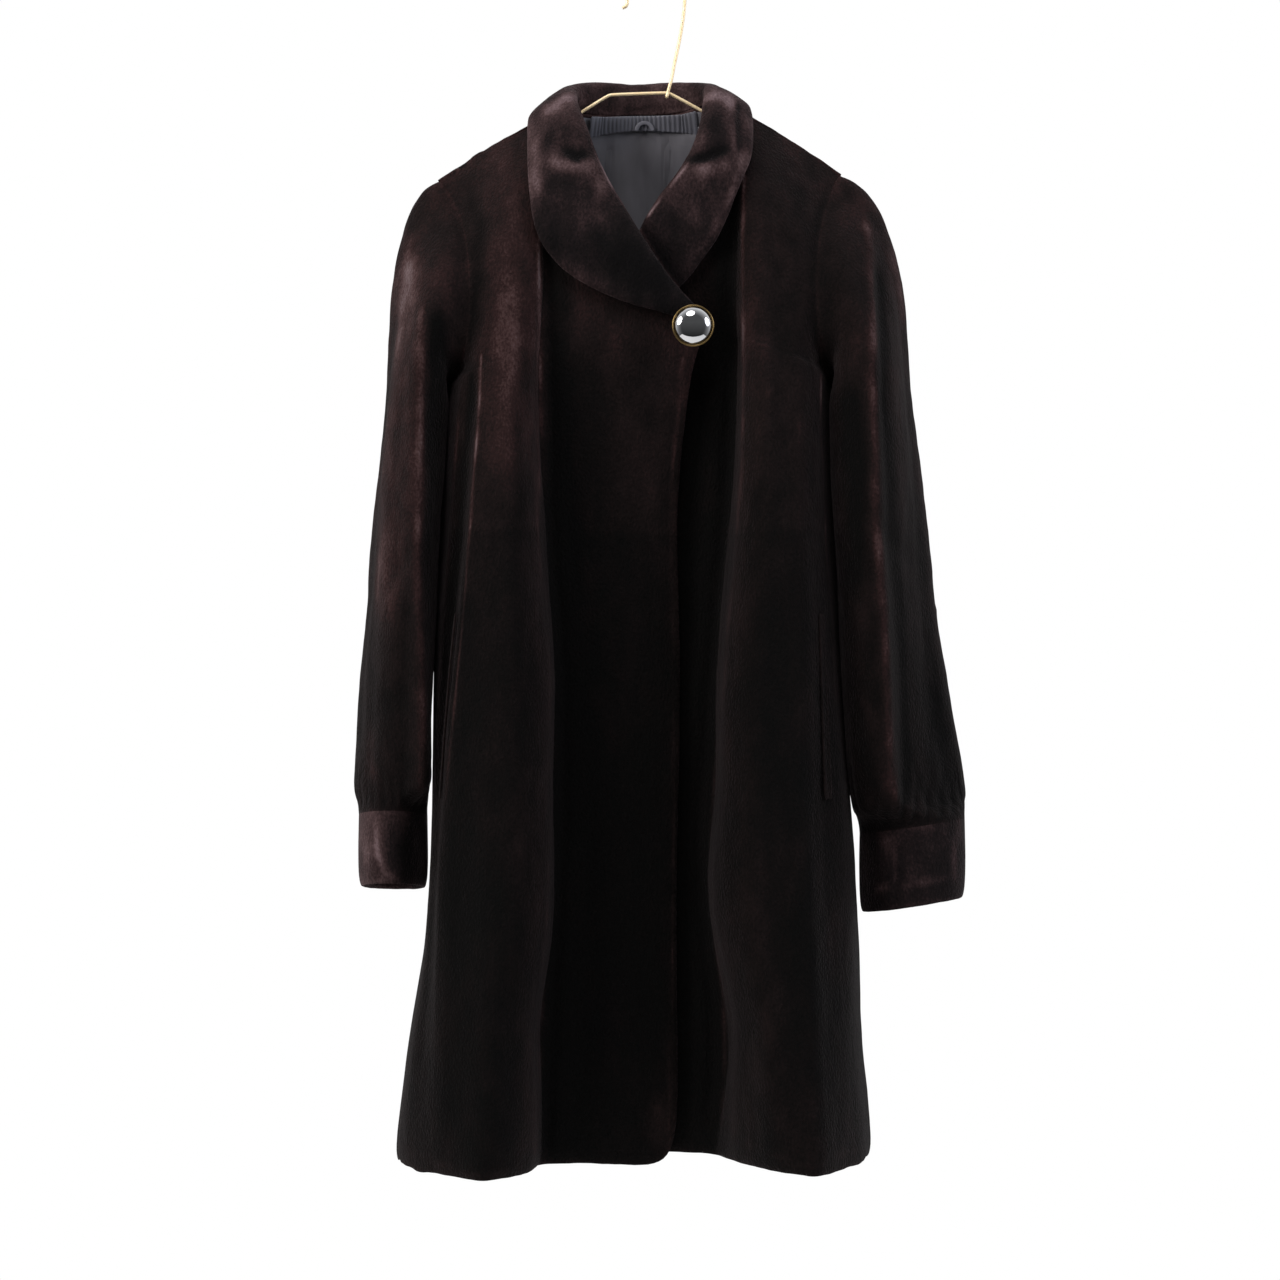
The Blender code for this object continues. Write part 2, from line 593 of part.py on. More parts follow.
def sheet(name, material, faces_out, faces_in, ring=False):
    """A closed sheet between two grids of points, open or round a ring."""
    bm = bmesh.new()
    grids = []
    for grid in (faces_out, faces_in):
        grids.append([[bm.verts.new(p * MM) for p in row] for row in grid])
    top, under = grids
    rows, columns = len(top), len(top[0])
    round_again = columns if ring else columns - 1
    for j in range(rows - 1):
        for i in range(round_again):
            k = (i + 1) % columns
            bm.faces.new((top[j][i], top[j][k], top[j + 1][k], top[j + 1][i]))
            bm.faces.new((under[j][i], under[j + 1][i], under[j + 1][k], under[j][k]))
    for i in range(round_again):
        k = (i + 1) % columns
        for j in (0, rows - 1):
            bm.faces.new((top[j][i], under[j][i], under[j][k], top[j][k]))
    if not ring:
        for j in range(rows - 1):
            for i in (0, columns - 1):
                bm.faces.new((top[j][i], top[j + 1][i], under[j + 1][i], under[j][i]))
    bmesh.ops.recalc_face_normals(bm, faces=bm.faces)
    if bm.calc_volume(signed=True) < 0:
        bmesh.ops.reverse_faces(bm, faces=bm.faces)
    mesh = bpy.data.meshes.new(name)
    bm.to_mesh(mesh)
    bm.free()
    return add_object(name, mesh, material)


def cut_piece(name, material, surface, across, up, thick, lift=None, ring=False,
              raised=0.0):
    """A piece of a surface, as thick as its pelt, moved out by lift."""
    outer, inner = [], []
    for v in up:
        row_out, row_in = [], []
        for u in across:
            way = surface.normal(u, v)
            point = surface.point(u, v) + np.array([0, 0, raised])
            if lift is not None:
                point = point + way * lift(u, v)
            depth = thick(u) if callable(thick) else thick
            row_out.append(point)
            row_in.append(point - way * depth)
        outer.append(row_out)
        inner.append(row_in)
    return sheet(name, material, outer, inner, ring)


def spread(low, high, count):
    return [float(x) for x in np.linspace(low, high, count)]


def wire(name, material, points, radius, sides=1):
    """A round wire along points (millimetres), with closed ends."""
    curve = bpy.data.curves.new(name, "CURVE")
    curve.dimensions = "3D"
    curve.bevel_depth = radius * MM
    curve.bevel_resolution = sides
    curve.use_fill_caps = True
    spline = curve.splines.new("POLY")
    spline.points.add(len(points) - 1)
    for spot, point in zip(spline.points, points):
        spot.co = (*(float(c) * MM for c in point), 1.0)
    curve.materials.append(material)
    thing = bpy.data.objects.new(name, curve)
    bpy.context.scene.collection.objects.link(thing)
    return thing


def turned(name, material, profile, steps=28):
    """A solid turned about the button's axis: profile is (radius, fwd)."""
    bm = bmesh.new()
    centre = place(1, BUTTON_X, 0, BUTTON_DROP)
    spots = [bm.verts.new((centre + np.array([r, -f, 0.0])) * MM) for r, f in profile]
    ends = []
    closed = profile[0][0] > 0 and profile[-1][0] > 0
    count = len(spots)
    for i in range(count if closed else count - 1):
        ends.append(bm.edges.new((spots[i], spots[(i + 1) % count])))
    bmesh.ops.spin(
        bm, geom=spots + ends, cent=tuple(centre * MM), axis=(0, 1, 0),
        angle=2 * math.pi, steps=steps, use_merge=True, use_duplicate=False,
    )
    bmesh.ops.remove_doubles(bm, verts=bm.verts, dist=1e-6)
    bmesh.ops.recalc_face_normals(bm, faces=bm.faces)
    mesh = bpy.data.meshes.new(name)
    bm.to_mesh(mesh)
    bm.free()
    return add_object(name, mesh, material)


# ---------------------------------------------------------------- the coat
def build_body(fur):
    right, left, back = Front(RIGHT, RIGHT_FRONT), Front(LEFT, LEFT_FRONT), Back()
    front_u = sorted(set(spread(0, 0.25, 4) + spread(0.25, 0.37, 5)
                         + spread(0.37, 0.65, 8) + spread(0.65, 1.0, 10)))
    back_u = sorted(set(spread(0, 0.3, 9) + spread(0.3, 0.7, 10) + spread(0.7, 1, 9)))
    pieces = (
        ("front_right", right, front_u), ("front_left", left, front_u),
        ("back", back, back_u),
    )
    for name, panel, across in pieces:
        half_gap = SEAM_GAP / 2 / panel.length
        lower = spread(0, panel.join - half_gap, 10)
        upper = spread(panel.join + half_gap, panel.under, 5)
        upper += spread(panel.under, 1, ARMHOLE_STEPS + 1)[1:]
        cut_piece(name + "_lower", fur, panel, across, lower, PELT)
        cut_piece(name + "_upper", fur, panel, across, upper, PELT)
    return right, left, back, back_u, upper


def build_sleeve(name, fur, side, front, back, table, cuff):
    sleeve = Sleeve(side, front, back, table, cuff)
    around = [i / RING for i in range(RING)]
    gap = SEAM_GAP / 2
    cap = [0.0, 0.09, 0.2, 0.34, 0.5, 0.68, 0.84, 1.0]
    upper = cap + [440, 480, 527, SLEEVE_JOIN - gap]
    lower = [SLEEVE_JOIN + gap, 620, 665, 705]
    lower += [sleeve.end - 28, sleeve.end - 17, sleeve.end - 8, sleeve.end]
    cut_piece("sleeve_%s_upper" % name, fur, sleeve, around, upper, SLEEVE_PELT,
              ring=True)
    cut_piece("sleeve_%s_lower" % name, fur, sleeve, around, lower, SLEEVE_PELT,
              ring=True)
    top, high = cuff[4], cuff[5]
    outer, inner = [], []
    for drop in (top, top + 0.33 * high, top + 0.67 * high, top + high):
        ring = [cuff_ring(side, cuff, turn, drop) for turn in around]
        middle = sum(ring) / RING
        outer.append([sleeve.tilt(p, 1.0) for p in ring])
        inner.append([sleeve.tilt(p - unit(p - middle) * CUFF_PELT, 1.0)
                      for p in ring])
    sheet("cuff_" + name, fur, outer, inner, ring=True)


def build_collar(fur):
    for name, side, table in (("right", RIGHT, RIGHT_COLLAR), ("left", LEFT, LEFT_COLLAR)):
        collar = Collar(side, table)
        along = spread(0, 1, 22)
        over = [0, 0.07, 0.14, 0.24, 0.33, 0.43, 0.52, 0.62, 0.71, 0.8, 0.9, 1]
        cut_piece(
            "collar_" + name, fur, collar, along, over, collar.thick,
            lift=lambda u, v: collar.thick(u) / 2,
        )


def height_at(surface, u, drop):
    """How far up a surface lies at this drop, in its own v."""
    steps = spread(0, 1, 1601)
    return min(steps, key=lambda v: abs(-surface.point(u, v)[2] - drop))


def build_inside(back, satin, across, up):
    """The lining and its pleated band, made from the back's own points."""
    inside = PELT + LINING_GAP
    first, last = back.neck_u
    lining_u = [u for u in across if first - 0.05 < u < last + 0.05]
    lining_v = [v for v in up if -back.point(0.5, v)[2] < LINING_DROP and v < 0.97]
    lining_v.append(0.98)
    cut_piece("lining_back", satin, back, lining_u, lining_v, SATIN,
              lift=lambda u, v: -inside)
    band_u = spread(first + BAND_INSET, last - BAND_INSET, 2 * PLEATS + 1)
    top = -back.point(0.5, 1)[2]
    bottom = height_at(back, 0.5, top + BAND_HIGH)
    pleat = {u: (i % 2) * PLEAT_DEEP for i, u in enumerate(band_u)}
    cut_piece("neck_band", satin, back, band_u, spread(bottom, 0.998, 3), SATIN,
              lift=lambda u, v: -BAND_DEEP - pleat[u], raised=BAND_RISE)


def build_loop(back, satin):
    """The tape loop at the centre back, a low arch lying on the neck band."""
    arch = []
    away = BAND_DEEP + PLEAT_DEEP + SATIN + LOOP_RADIUS + 0.4
    for angle in spread(0, math.pi, 9):
        u = 0.5 + (LOOP_X - LOOP_HALF * math.cos(angle)) / back.neck_width
        v = height_at(back, u, LOOP_DROP + BAND_RISE - LOOP_RISE * math.sin(angle))
        point = back.point(u, v) - back.normal(u, v) * away
        arch.append(point + np.array([0, 0, BAND_RISE]))
    wire("hanging_loop", satin, arch, LOOP_RADIUS)


def build_pocket(name, fur, front, u):
    """The in-seam pocket's lip, made from the front's own points."""
    top = height_at(front, u, POCKET_TOP)
    foot = height_at(front, u, POCKET_TOP + POCKET_LONG)
    step = 1e-3
    pace = np.linalg.norm(front.point(u + step, top) - front.point(u - step, top))
    half = POCKET_WIDE / 2 / pace * 2 * step
    cut_piece(
        "pocket_" + name, fur, front, spread(u - half, u + half, 4),
        spread(foot, top, 9), 1.6, lift=lambda u, v: 2.2,
    )


def build_hanger(gold):
    lengths = (("arm_right", RIGHT_ARM), ("bar", BAR), ("arm_left", LEFT_ARM))
    for name, bends in lengths:
        path = [place(1, x, 0, drop) for x, drop in bends]
        wire("hanger_" + name, gold, path, WIRE)
    hook = []
    for i, (x, drop) in enumerate(STEM):
        lift = STEM_LIFT[i] * (2 * WIRE + 0.15)
        hook.append(place(1, x, lift, drop))
    middle_x, middle_z = 0.0, WIRE - HOOK_RADIUS
    for angle in spread(0, math.pi + 0.12, 19):
        x = middle_x + HOOK_RADIUS * math.cos(angle)
        z = middle_z + HOOK_RADIUS * math.sin(angle)
        hook.append(np.array([x, 0.0, z]))
    end = hook[-1]
    hook.append(end + np.array([-1.2, 0, -3.2]))
    hook.append(end + np.array([-4.4, 0, -4.8]))
    wire("hanger_hook", gold, hook, WIRE)


def build_button(mirror, gold, thread):
    r, f, h = BUTTON_RADIUS, BUTTON_FWD, BUTTON_DOME
    inner = r - 2 * RIM - 0.35
    dome = [(0, f)]
    dome += [(inner * 0.55, f), (inner, f + 0.4)]
    for angle in spread(0.15, math.pi / 2, 7)[:-1]:
        dome.append((inner * math.cos(angle), f + h * math.sin(angle)))
    dome.append((0, f + h))
    turned("button", mirror, dome)
    bead = []
    for k in range(6):
        angle = k * math.pi / 3
        bead.append((r - RIM + RIM * math.cos(angle), f + 1.6 + RIM * math.sin(angle)))
    turned("button_rim", gold, bead)
    turned("button_shank", thread, [(0, 57.5), (2.2, 57.5), (2.2, f - 0.4), (0, f - 0.4)], 12)


def main():
    for thing in list(bpy.data.objects):
        bpy.data.objects.remove(thing, do_unlink=True)
    fur = make_material("sheared_mink", (0.022, 0.012, 0.011), 0.8)
    satin = make_material("lining_satin", (0.045, 0.045, 0.055), 0.45)
    gold = make_material("gold_wire", (0.72, 0.52, 0.26), 0.3, 1.0)
    mirror = make_material("mirror_metal", (0.75, 0.75, 0.76), 0.06, 1.0)
    thread = make_material("button_thread", (0.02, 0.015, 0.014), 0.8)
    right, left, back, back_u, back_v = build_body(fur)
    build_sleeve("right", fur, RIGHT, right, back, RIGHT_SLEEVE, RIGHT_CUFF)
    build_sleeve("left", fur, LEFT, left, back, LEFT_SLEEVE, LEFT_CUFF)
    build_collar(fur)
    build_inside(back, satin, back_u, back_v)
    build_loop(back, satin)
    build_pocket("right", fur, right, 0.7)
    build_pocket("left", fur, left, 0.76)
    build_hanger(gold)
    build_button(mirror, gold, thread)


main()
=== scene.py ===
"""The look of a sheared mink coat on a thin wire hanger.

Metres, +Z up, the coat faces -Y. Tables are in millimetres: x from the coat's
centre plane, drop below the inside top of the hanger's hook.
"""
import math

import bmesh
import bpy
import numpy as np
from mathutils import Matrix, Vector, noise
from mathutils.kdtree import KDTree


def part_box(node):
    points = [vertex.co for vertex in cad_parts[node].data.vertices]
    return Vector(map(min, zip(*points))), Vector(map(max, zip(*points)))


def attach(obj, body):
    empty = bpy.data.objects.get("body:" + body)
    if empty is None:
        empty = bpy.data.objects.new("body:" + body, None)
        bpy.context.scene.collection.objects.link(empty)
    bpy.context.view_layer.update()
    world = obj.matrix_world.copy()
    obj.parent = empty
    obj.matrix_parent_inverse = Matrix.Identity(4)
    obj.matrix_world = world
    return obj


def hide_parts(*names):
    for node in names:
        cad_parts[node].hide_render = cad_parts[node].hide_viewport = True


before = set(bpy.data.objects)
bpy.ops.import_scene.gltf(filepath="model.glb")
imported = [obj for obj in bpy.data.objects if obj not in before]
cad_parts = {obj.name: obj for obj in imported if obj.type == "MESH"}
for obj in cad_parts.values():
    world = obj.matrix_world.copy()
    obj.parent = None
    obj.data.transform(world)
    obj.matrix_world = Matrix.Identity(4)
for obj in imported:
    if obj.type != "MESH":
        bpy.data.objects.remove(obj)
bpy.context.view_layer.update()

MM = 0.001
CENTRE_X = -14.4  # the coat hangs this far to one side of the hook
PELT_JOIN = 507.0  # drop of the seam between upper and lower pelts
SLEEVE_JOIN = 574.0
HEM_BELOW = 900.0  # only the hem lies below this drop
SAME_POINT = 0.02 * MM
SEAM_REACH = 0.9 * MM  # wider than a seam's gap, finer than any other step
JOIN_WALL = 3.5  # a pelt join's edge walls lie this near its drop (mm)
JOIN_NEAR = 4.5  # and so near lie the points that are sewn together
CENTRE_NEAR = 0.5  # the collar's two end walls lie this near the centre (mm)
SHARP_EDGE = 0.95  # radians; one skin of a sheet ends at such an edge
SEAM_SHARE = 0.46  # a seam edge moves so far to its neighbour, just short of it
CRISP_EDGE = 0.8  # radians; a seam's edge past this is shaded sharp
ROUND_TRIPS, ROUND_STEP = 2, 0.8  # how a form is corrected for subdividing


# ---------------------------------------------------------------- materials
def srgb(text):
    """A hex colour as linear red, green, blue and alpha."""
    parts = [int(text[i:i + 2], 16) / 255 for i in (1, 3, 5)]
    linear = [
        c / 12.92 if c <= 0.04045 else ((c + 0.055) / 1.055) ** 2.4 for c in parts
    ]
    return (*linear, 1.0)


def add_node(tree, kind, values=None, links=None, **settings):
    """One node with its settings, its sockets' values and what feeds them."""
    new = tree.nodes.new(kind)
    for name, value in settings.items():
        setattr(new, name, value)
    for socket, value in (values or {}).items():
        new.inputs[socket].default_value = value
    for socket, source in (links or {}).items():
        tree.links.new(source, new.inputs[socket])
    return new


def new_material(name, **sockets):
    """A material and its Principled shader with these sockets set."""
    material = bpy.data.materials.new(name)
    material.use_nodes = True
    tree = material.node_tree
    shader = tree.nodes["Principled BSDF"]
    for socket, value in sockets.items():
        shader.inputs[socket.replace("_", " ")].default_value = value
    return material, tree, shader


def stretched(tree, size):
    """Object coordinates with one step of a pattern every size (mm)."""
    place = add_node(tree, "ShaderNodeTexCoord").outputs["Object"]
    scale = tuple(1 / (s * MM) for s in size)
    return add_node(tree, "ShaderNodeMapping", {"Scale": scale}, {"Vector": place})


def toned(tree, amount, stops):
    """Colours between stops, each (amount, sRGB hex)."""
    ramp = add_node(tree, "ShaderNodeValToRGB", {}, {0: amount})
    steps = ramp.color_ramp.elements
    for i, (at, colour) in enumerate(stops):
        step = steps[i] if i < 2 else steps.new(at)
        step.position, step.color = at, srgb(colour)
    return ramp.outputs[0]


def summed(tree, first, *others):
    """Adds up values that are worked out in the tree."""
    for other in others:
        first = add_node(tree, "ShaderNodeMath", {}, {0: first, 1: other}).outputs[0]
    return first


def spread(tree, size, low, high, detail=3.0):
    """Noise of one step every size (mm), from low to high."""
    pattern = add_node(
        tree, "ShaderNodeTexNoise", {"Scale": 1.0, "Detail": detail, "Roughness": 0.6},
        {"Vector": stretched(tree, size).outputs[0]},
    )
    return add_node(
        tree, "ShaderNodeMapRange",
        {"From Min": 0.28, "From Max": 0.72, "To Min": low, "To Max": high},
        {"Value": pattern.outputs["Fac"]},
    ).outputs[0]


def sheared_mink(name, stops, sheen, weight):
    """Mink pelt shorn to about 5 mm: matt, from almost black to mauve-brown. The
    piece's own attribute of tone and painted light picks the colour at each place:
    the fur's own tone with painted highlights and painted shade laid on it."""
    material, tree, shader = new_material(
        name, Roughness=0.86, IOR=1.45, Sheen_Weight=weight, Sheen_Roughness=0.3,
        Sheen_Tint=srgb(sheen),
    )
    shader.inputs["Specular IOR Level"].default_value = 0.1
    # The attribute carries painted highlights and painted shade along with the fur's
    # tone.
    tone_and_painted_light = add_node(tree, "ShaderNodeAttribute", attribute_name="tone_and_painted_light").outputs["Fac"]
    # Strokes of a hand or brush leave patches 20 to 60 mm across.
    brushed = spread(tree, (24, 24, 50), -0.04, 0.04, 2.0)
    # Sheared tips stand in tufts about 2 mm across, drawn as coarse as shows.
    lock = spread(tree, (2.0, 2.0, 3.2), -0.1, 0.1, 3.0)
    amount = summed(tree, tone_and_painted_light, brushed, lock)
    tree.links.new(toned(tree, amount, stops), shader.inputs["Base Color"])
    nap = add_node(
        tree, "ShaderNodeBump", {"Strength": 0.7, "Distance": 7.0 * MM},
        {"Height": lock},
    )
    tree.links.new(nap.outputs[0], shader.inputs["Normal"])
    return material


def lining_satin(name, dark, colour):
    """Viscose satin: smooth and dark grey-blue, with a soft wide highlight, and
    darker where its folds close, which is painted shade carried by the piece's
    attribute of tone and painted light."""
    material, tree, shader = new_material(
        name, Roughness=0.5, IOR=1.5, Sheen_Weight=0.2, Sheen_Roughness=0.4,
        Anisotropic=0.4,
    )
    # The attribute brings painted shade in the folds along with the satin's tone.
    satin_tone_and_light = add_node(tree, "ShaderNodeAttribute", attribute_name="tone_and_painted_light").outputs["Fac"]
    soft = spread(tree, (16, 16, 60), -0.1, 0.1, 2.0)
    amount = summed(tree, satin_tone_and_light, soft)
    tree.links.new(toned(tree, amount, ((0.0, dark), (1.0, colour))),
                   shader.inputs["Base Color"])
    # Satin's floats are about 0.2 mm; drawn at 0.9 mm so that they show.
    thread = add_node(
        tree, "ShaderNodeBump", {"Strength": 0.12, "Distance": 0.2 * MM},
        {"Height": spread(tree, (0.9, 0.9, 3.0), 0.0, 1.0, 2.0)},
    )
    tree.links.new(thread.outputs[0], shader.inputs["Normal"])
    return material


def metal(name, colour, worn, rough, wear_size):
    """A plated metal: even colour, with faint rubbing that dulls the shine."""
    material, tree, shader = new_material(name, Metallic=1.0)
    rub = add_node(
        tree, "ShaderNodeTexNoise", {"Scale": 1.0, "Detail": 3.0},
        {"Vector": stretched(tree, (wear_size,) * 3).outputs[0]},
    )
    tone = add_node(
        tree, "ShaderNodeMix", {6: srgb(colour), 7: srgb(worn)},
        {0: rub.outputs["Fac"]}, data_type="RGBA",
    )
    dull = add_node(
        tree, "ShaderNodeMapRange", {"To Min": rough, "To Max": rough * 1.8},
        {"Value": rub.outputs["Fac"]},
    )
    tree.links.new(tone.outputs[2], shader.inputs["Base Color"])
    tree.links.new(dull.outputs[0], shader.inputs["Roughness"])
    return material


BODY_FUR = sheared_mink(
    "sheared_mink_body",
    ((0.0, "#020202"), (1.0, "#857778"), (0.16, "#080505"), (0.34, "#150e0e"),
     (0.5, "#261818"), (0.64, "#3f2e2e"), (0.8, "#5c4e50")), "#857a7e", 0.2)
COLLAR_FUR = sheared_mink(
    "sheared_mink_collar",
    ((0.0, "#040304"), (1.0, "#827274"), (0.16, "#090708"), (0.34, "#171112"),
     (0.5, "#2d2122"), (0.64, "#453637"), (0.8, "#605053")), "#8e8084", 0.26)
SATIN = lining_satin("viscose_satin_lining", "#2c2c32", "#8b8b94")
BAND_SATIN = lining_satin("gathered_satin_band", "#0a0a0d", "#70727e")
GOLD = metal("gold_plated_wire", "#f7e9cb", "#ead3a6", 0.42, 6.0)
RIM_GOLD = metal("gold_plated_rim", "#8f7a52", "#6d5935", 0.25, 3.0)
MIRROR = metal("mirror_plated_button", "#cfd0d3", "#c2c4c8", 0.03, 9.0)
THREAD = lining_satin("waxed_button_thread", "#120d0c", "#1a1413")


# ---------------------------------------------------------------- meshes
def as_coat(point):
    """A point as (x from the coat's centre, fwd, drop) in millimetres."""
    return point.x / MM - CENTRE_X, -point.y / MM, -point.z / MM


def merged_copy(names):
    """Copies of CAD nodes in one bmesh, their loose triangles sewn together."""
    bm = bmesh.new()
    for name in names:
        bm.from_mesh(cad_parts[name].data)
    bmesh.ops.remove_doubles(bm, verts=bm.verts, dist=SAME_POINT)
    bmesh.ops.join_triangles(
        bm, faces=bm.faces, angle_face_threshold=math.radians(50),
        angle_shape_threshold=math.radians(65),
    )
    return bm


def close_join(bm, drop):
    """Sews an upper and a lower pelt section into one skin at their seam."""
    walls = [
        f for f in bm.faces
        if abs(-f.calc_center_median().z / MM - drop) < JOIN_WALL
        and abs(f.normal.z) > 0.7
    ]
    bmesh.ops.delete(bm, geom=walls, context="FACES_ONLY")
    near = [v for v in bm.verts if abs(-v.co.z / MM - drop) < JOIN_NEAR]
    bmesh.ops.remove_doubles(bm, verts=near, dist=SEAM_REACH)


def skins(bm):
    """The sheet's two faces and its edge walls, split at the sharp edges."""
    left, groups = set(bm.faces), []
    while left:
        start = left.pop()
        group, queue = [start], [start]
        while queue:
            face = queue.pop()
            for edge in face.edges:
                if len(edge.link_faces) == 2 and edge.calc_face_angle(9) < SHARP_EDGE:
                    for other in edge.link_faces:
                        if other in left:
                            left.remove(other)
                            group.append(other)
                            queue.append(other)
        groups.append(group)
    groups.sort(key=lambda g: -sum(f.calc_area() for f in g))
    return groups


def line_inside(bm, axis):
    """Gives the skin that faces the hollow the second material."""
    groups = skins(bm)
    if len(groups) < 2:
        return
    scores = []
    for group in groups[:2]:
        score = 0.0
        for face in group:
            out = face.calc_center_median() - axis
            out.z = 0
            score += face.normal.dot(out.normalized()) * face.calc_area()
        scores.append(score)
    inner = groups[0] if scores[0] < scores[1] else groups[1]
    for face in inner:
        out = face.calc_center_median() - axis
        out.z = 0
        if face.normal.dot(out.normalized()) < -0.1 or face.normal.z < -0.3:
            face.material_index = 1


def close_seams(bm, names):
    """Draws a piece's seam edges halfway to its neighbours', so that the fur
    closes over the seam, and keeps them crisp and still from here on."""
    others = [v.co for n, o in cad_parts.items() if n not in names
              for v in o.data.vertices]
    tree = KDTree(len(others))
    for i, co in enumerate(others):
        tree.insert(co, i)
    tree.balance()
    crease = bm.edges.layers.float.new("crease_edge")
    hold = bm.verts.layers.float.new("hold")
    seam = set()
    hem = {v for f in bm.faces if f.normal.z < -0.6 for v in f.verts
           if as_coat(v.co)[2] > HEM_BELOW}
    for vertex in bm.verts:
        spot, _, far = tree.find(vertex.co)
        if far < SEAM_REACH and vertex not in hem:
            seam.add(vertex)
            vertex[hold] = 1.0
            vertex.co += (spot - vertex.co) * SEAM_SHARE
    for edge in bm.edges:
        if edge.verts[0] in seam and edge.verts[1] in seam:
            edge[crease] = 1.0
            edge.smooth = edge.calc_face_angle(0) < CRISP_EDGE


def rounded_mesh(thing):
    """The object's mesh with its modifiers applied."""
    bpy.context.view_layer.update()
    solid = thing.evaluated_get(bpy.context.evaluated_depsgraph_get())
    return bpy.data.meshes.new_from_object(solid)


def settle(name, bm, materials, levels=0):
    """Makes the bmesh an object, subdivided if asked, with nothing left live.
    Subdividing draws a form in, so its points are first moved out as far, and
    the smooth skin passes through the CAD's own points."""
    mesh = bpy.data.meshes.new(name)
    bm.to_mesh(mesh)
    bm.free()
    for material in materials:
        mesh.materials.append(material)
    thing = bpy.data.objects.new(name, mesh)
    bpy.context.scene.collection.objects.link(thing)
    if levels:
        round_off = thing.modifiers.new("round_off", "SUBSURF")
        round_off.levels = round_off.render_levels = levels
        wanted = [v.co.copy() for v in mesh.vertices]
        for _ in range(ROUND_TRIPS):
            drawn_in = rounded_mesh(thing)
            for vertex, want, got in zip(mesh.vertices, wanted, drawn_in.vertices):
                vertex.co += (want - got.co) * ROUND_STEP
            bpy.data.meshes.remove(drawn_in)
        thing.data = rounded_mesh(thing)
        thing.modifiers.clear()
        bpy.data.meshes.remove(mesh)
    else:
        mesh.shade_smooth()
    return thing


def finished(piece, slot, *nodes):
    """The piece rides on the coat and stands for its CAD nodes."""
    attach(piece, "root")
    if nodes:
        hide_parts(*nodes)


# ---------------------------------------------------------------- soft relief
# Strokes on a piece, seen from the front: amount, half width, then the points
# (x, drop) of its line. In RELIEF the amount is how far the skin is pressed in
# (mm, negative for a ridge); in the table of painted light it is painted light
# added to the colour (about 1 from black to fully lit, negative for painted
# shade): painted highlights along fold crests, edges and the lit sides of
# folds, painted shade in creases, recesses and under the armholes, and a few
# dark lines along the pelt joins.
FOLD_RIGHT = ((-88, 242), (-87, 307), (-87, 393), (-87, 506), (-80, 576), (-76, 640),
              (-77, 760), (-79, 823), (-83, 885), (-87, 946), (-89, 1008), (-91, 1055))
FOLD_LEFT = ((90, 185), (88, 263), (88, 393), (86, 445), (81, 514), (75, 576),
             (70, 638), (66, 699), (61, 761), (61, 815), (67, 885), (72, 915),
             (73, 977), (70, 1033))
CLOSING = ((38, 344), (29, 450), (28, 566), (30, 743), (28, 921), (26, 1054))
ARMHOLE_RIGHT = ((-166, 187), (-154, 203), (-145, 235), (-145, 286), (-150, 315),
                 (-157, 350))
ARMHOLE_LEFT = ((186, 196), (165, 217), (158, 256), (158, 300), (161, 353))
RIDGE_RIGHT = ((-191, 306), (-191, 393), (-192, 479), (-194, 532), (-191, 601),
               (-190, 653), (-192, 740))
RIDGE_LEFT = ((202, 227), (205, 306), (203, 366), (204, 427), (205, 497), (212, 575),
              (216, 653), (222, 745))
GROOVE_LEFT = ((213, 267), (214, 390), (220, 496), (228, 601), (234, 740))


def beside(line, shift):
    """The same line moved sideways by shift (mm)."""
    return tuple((x + shift, drop) for x, drop in line)


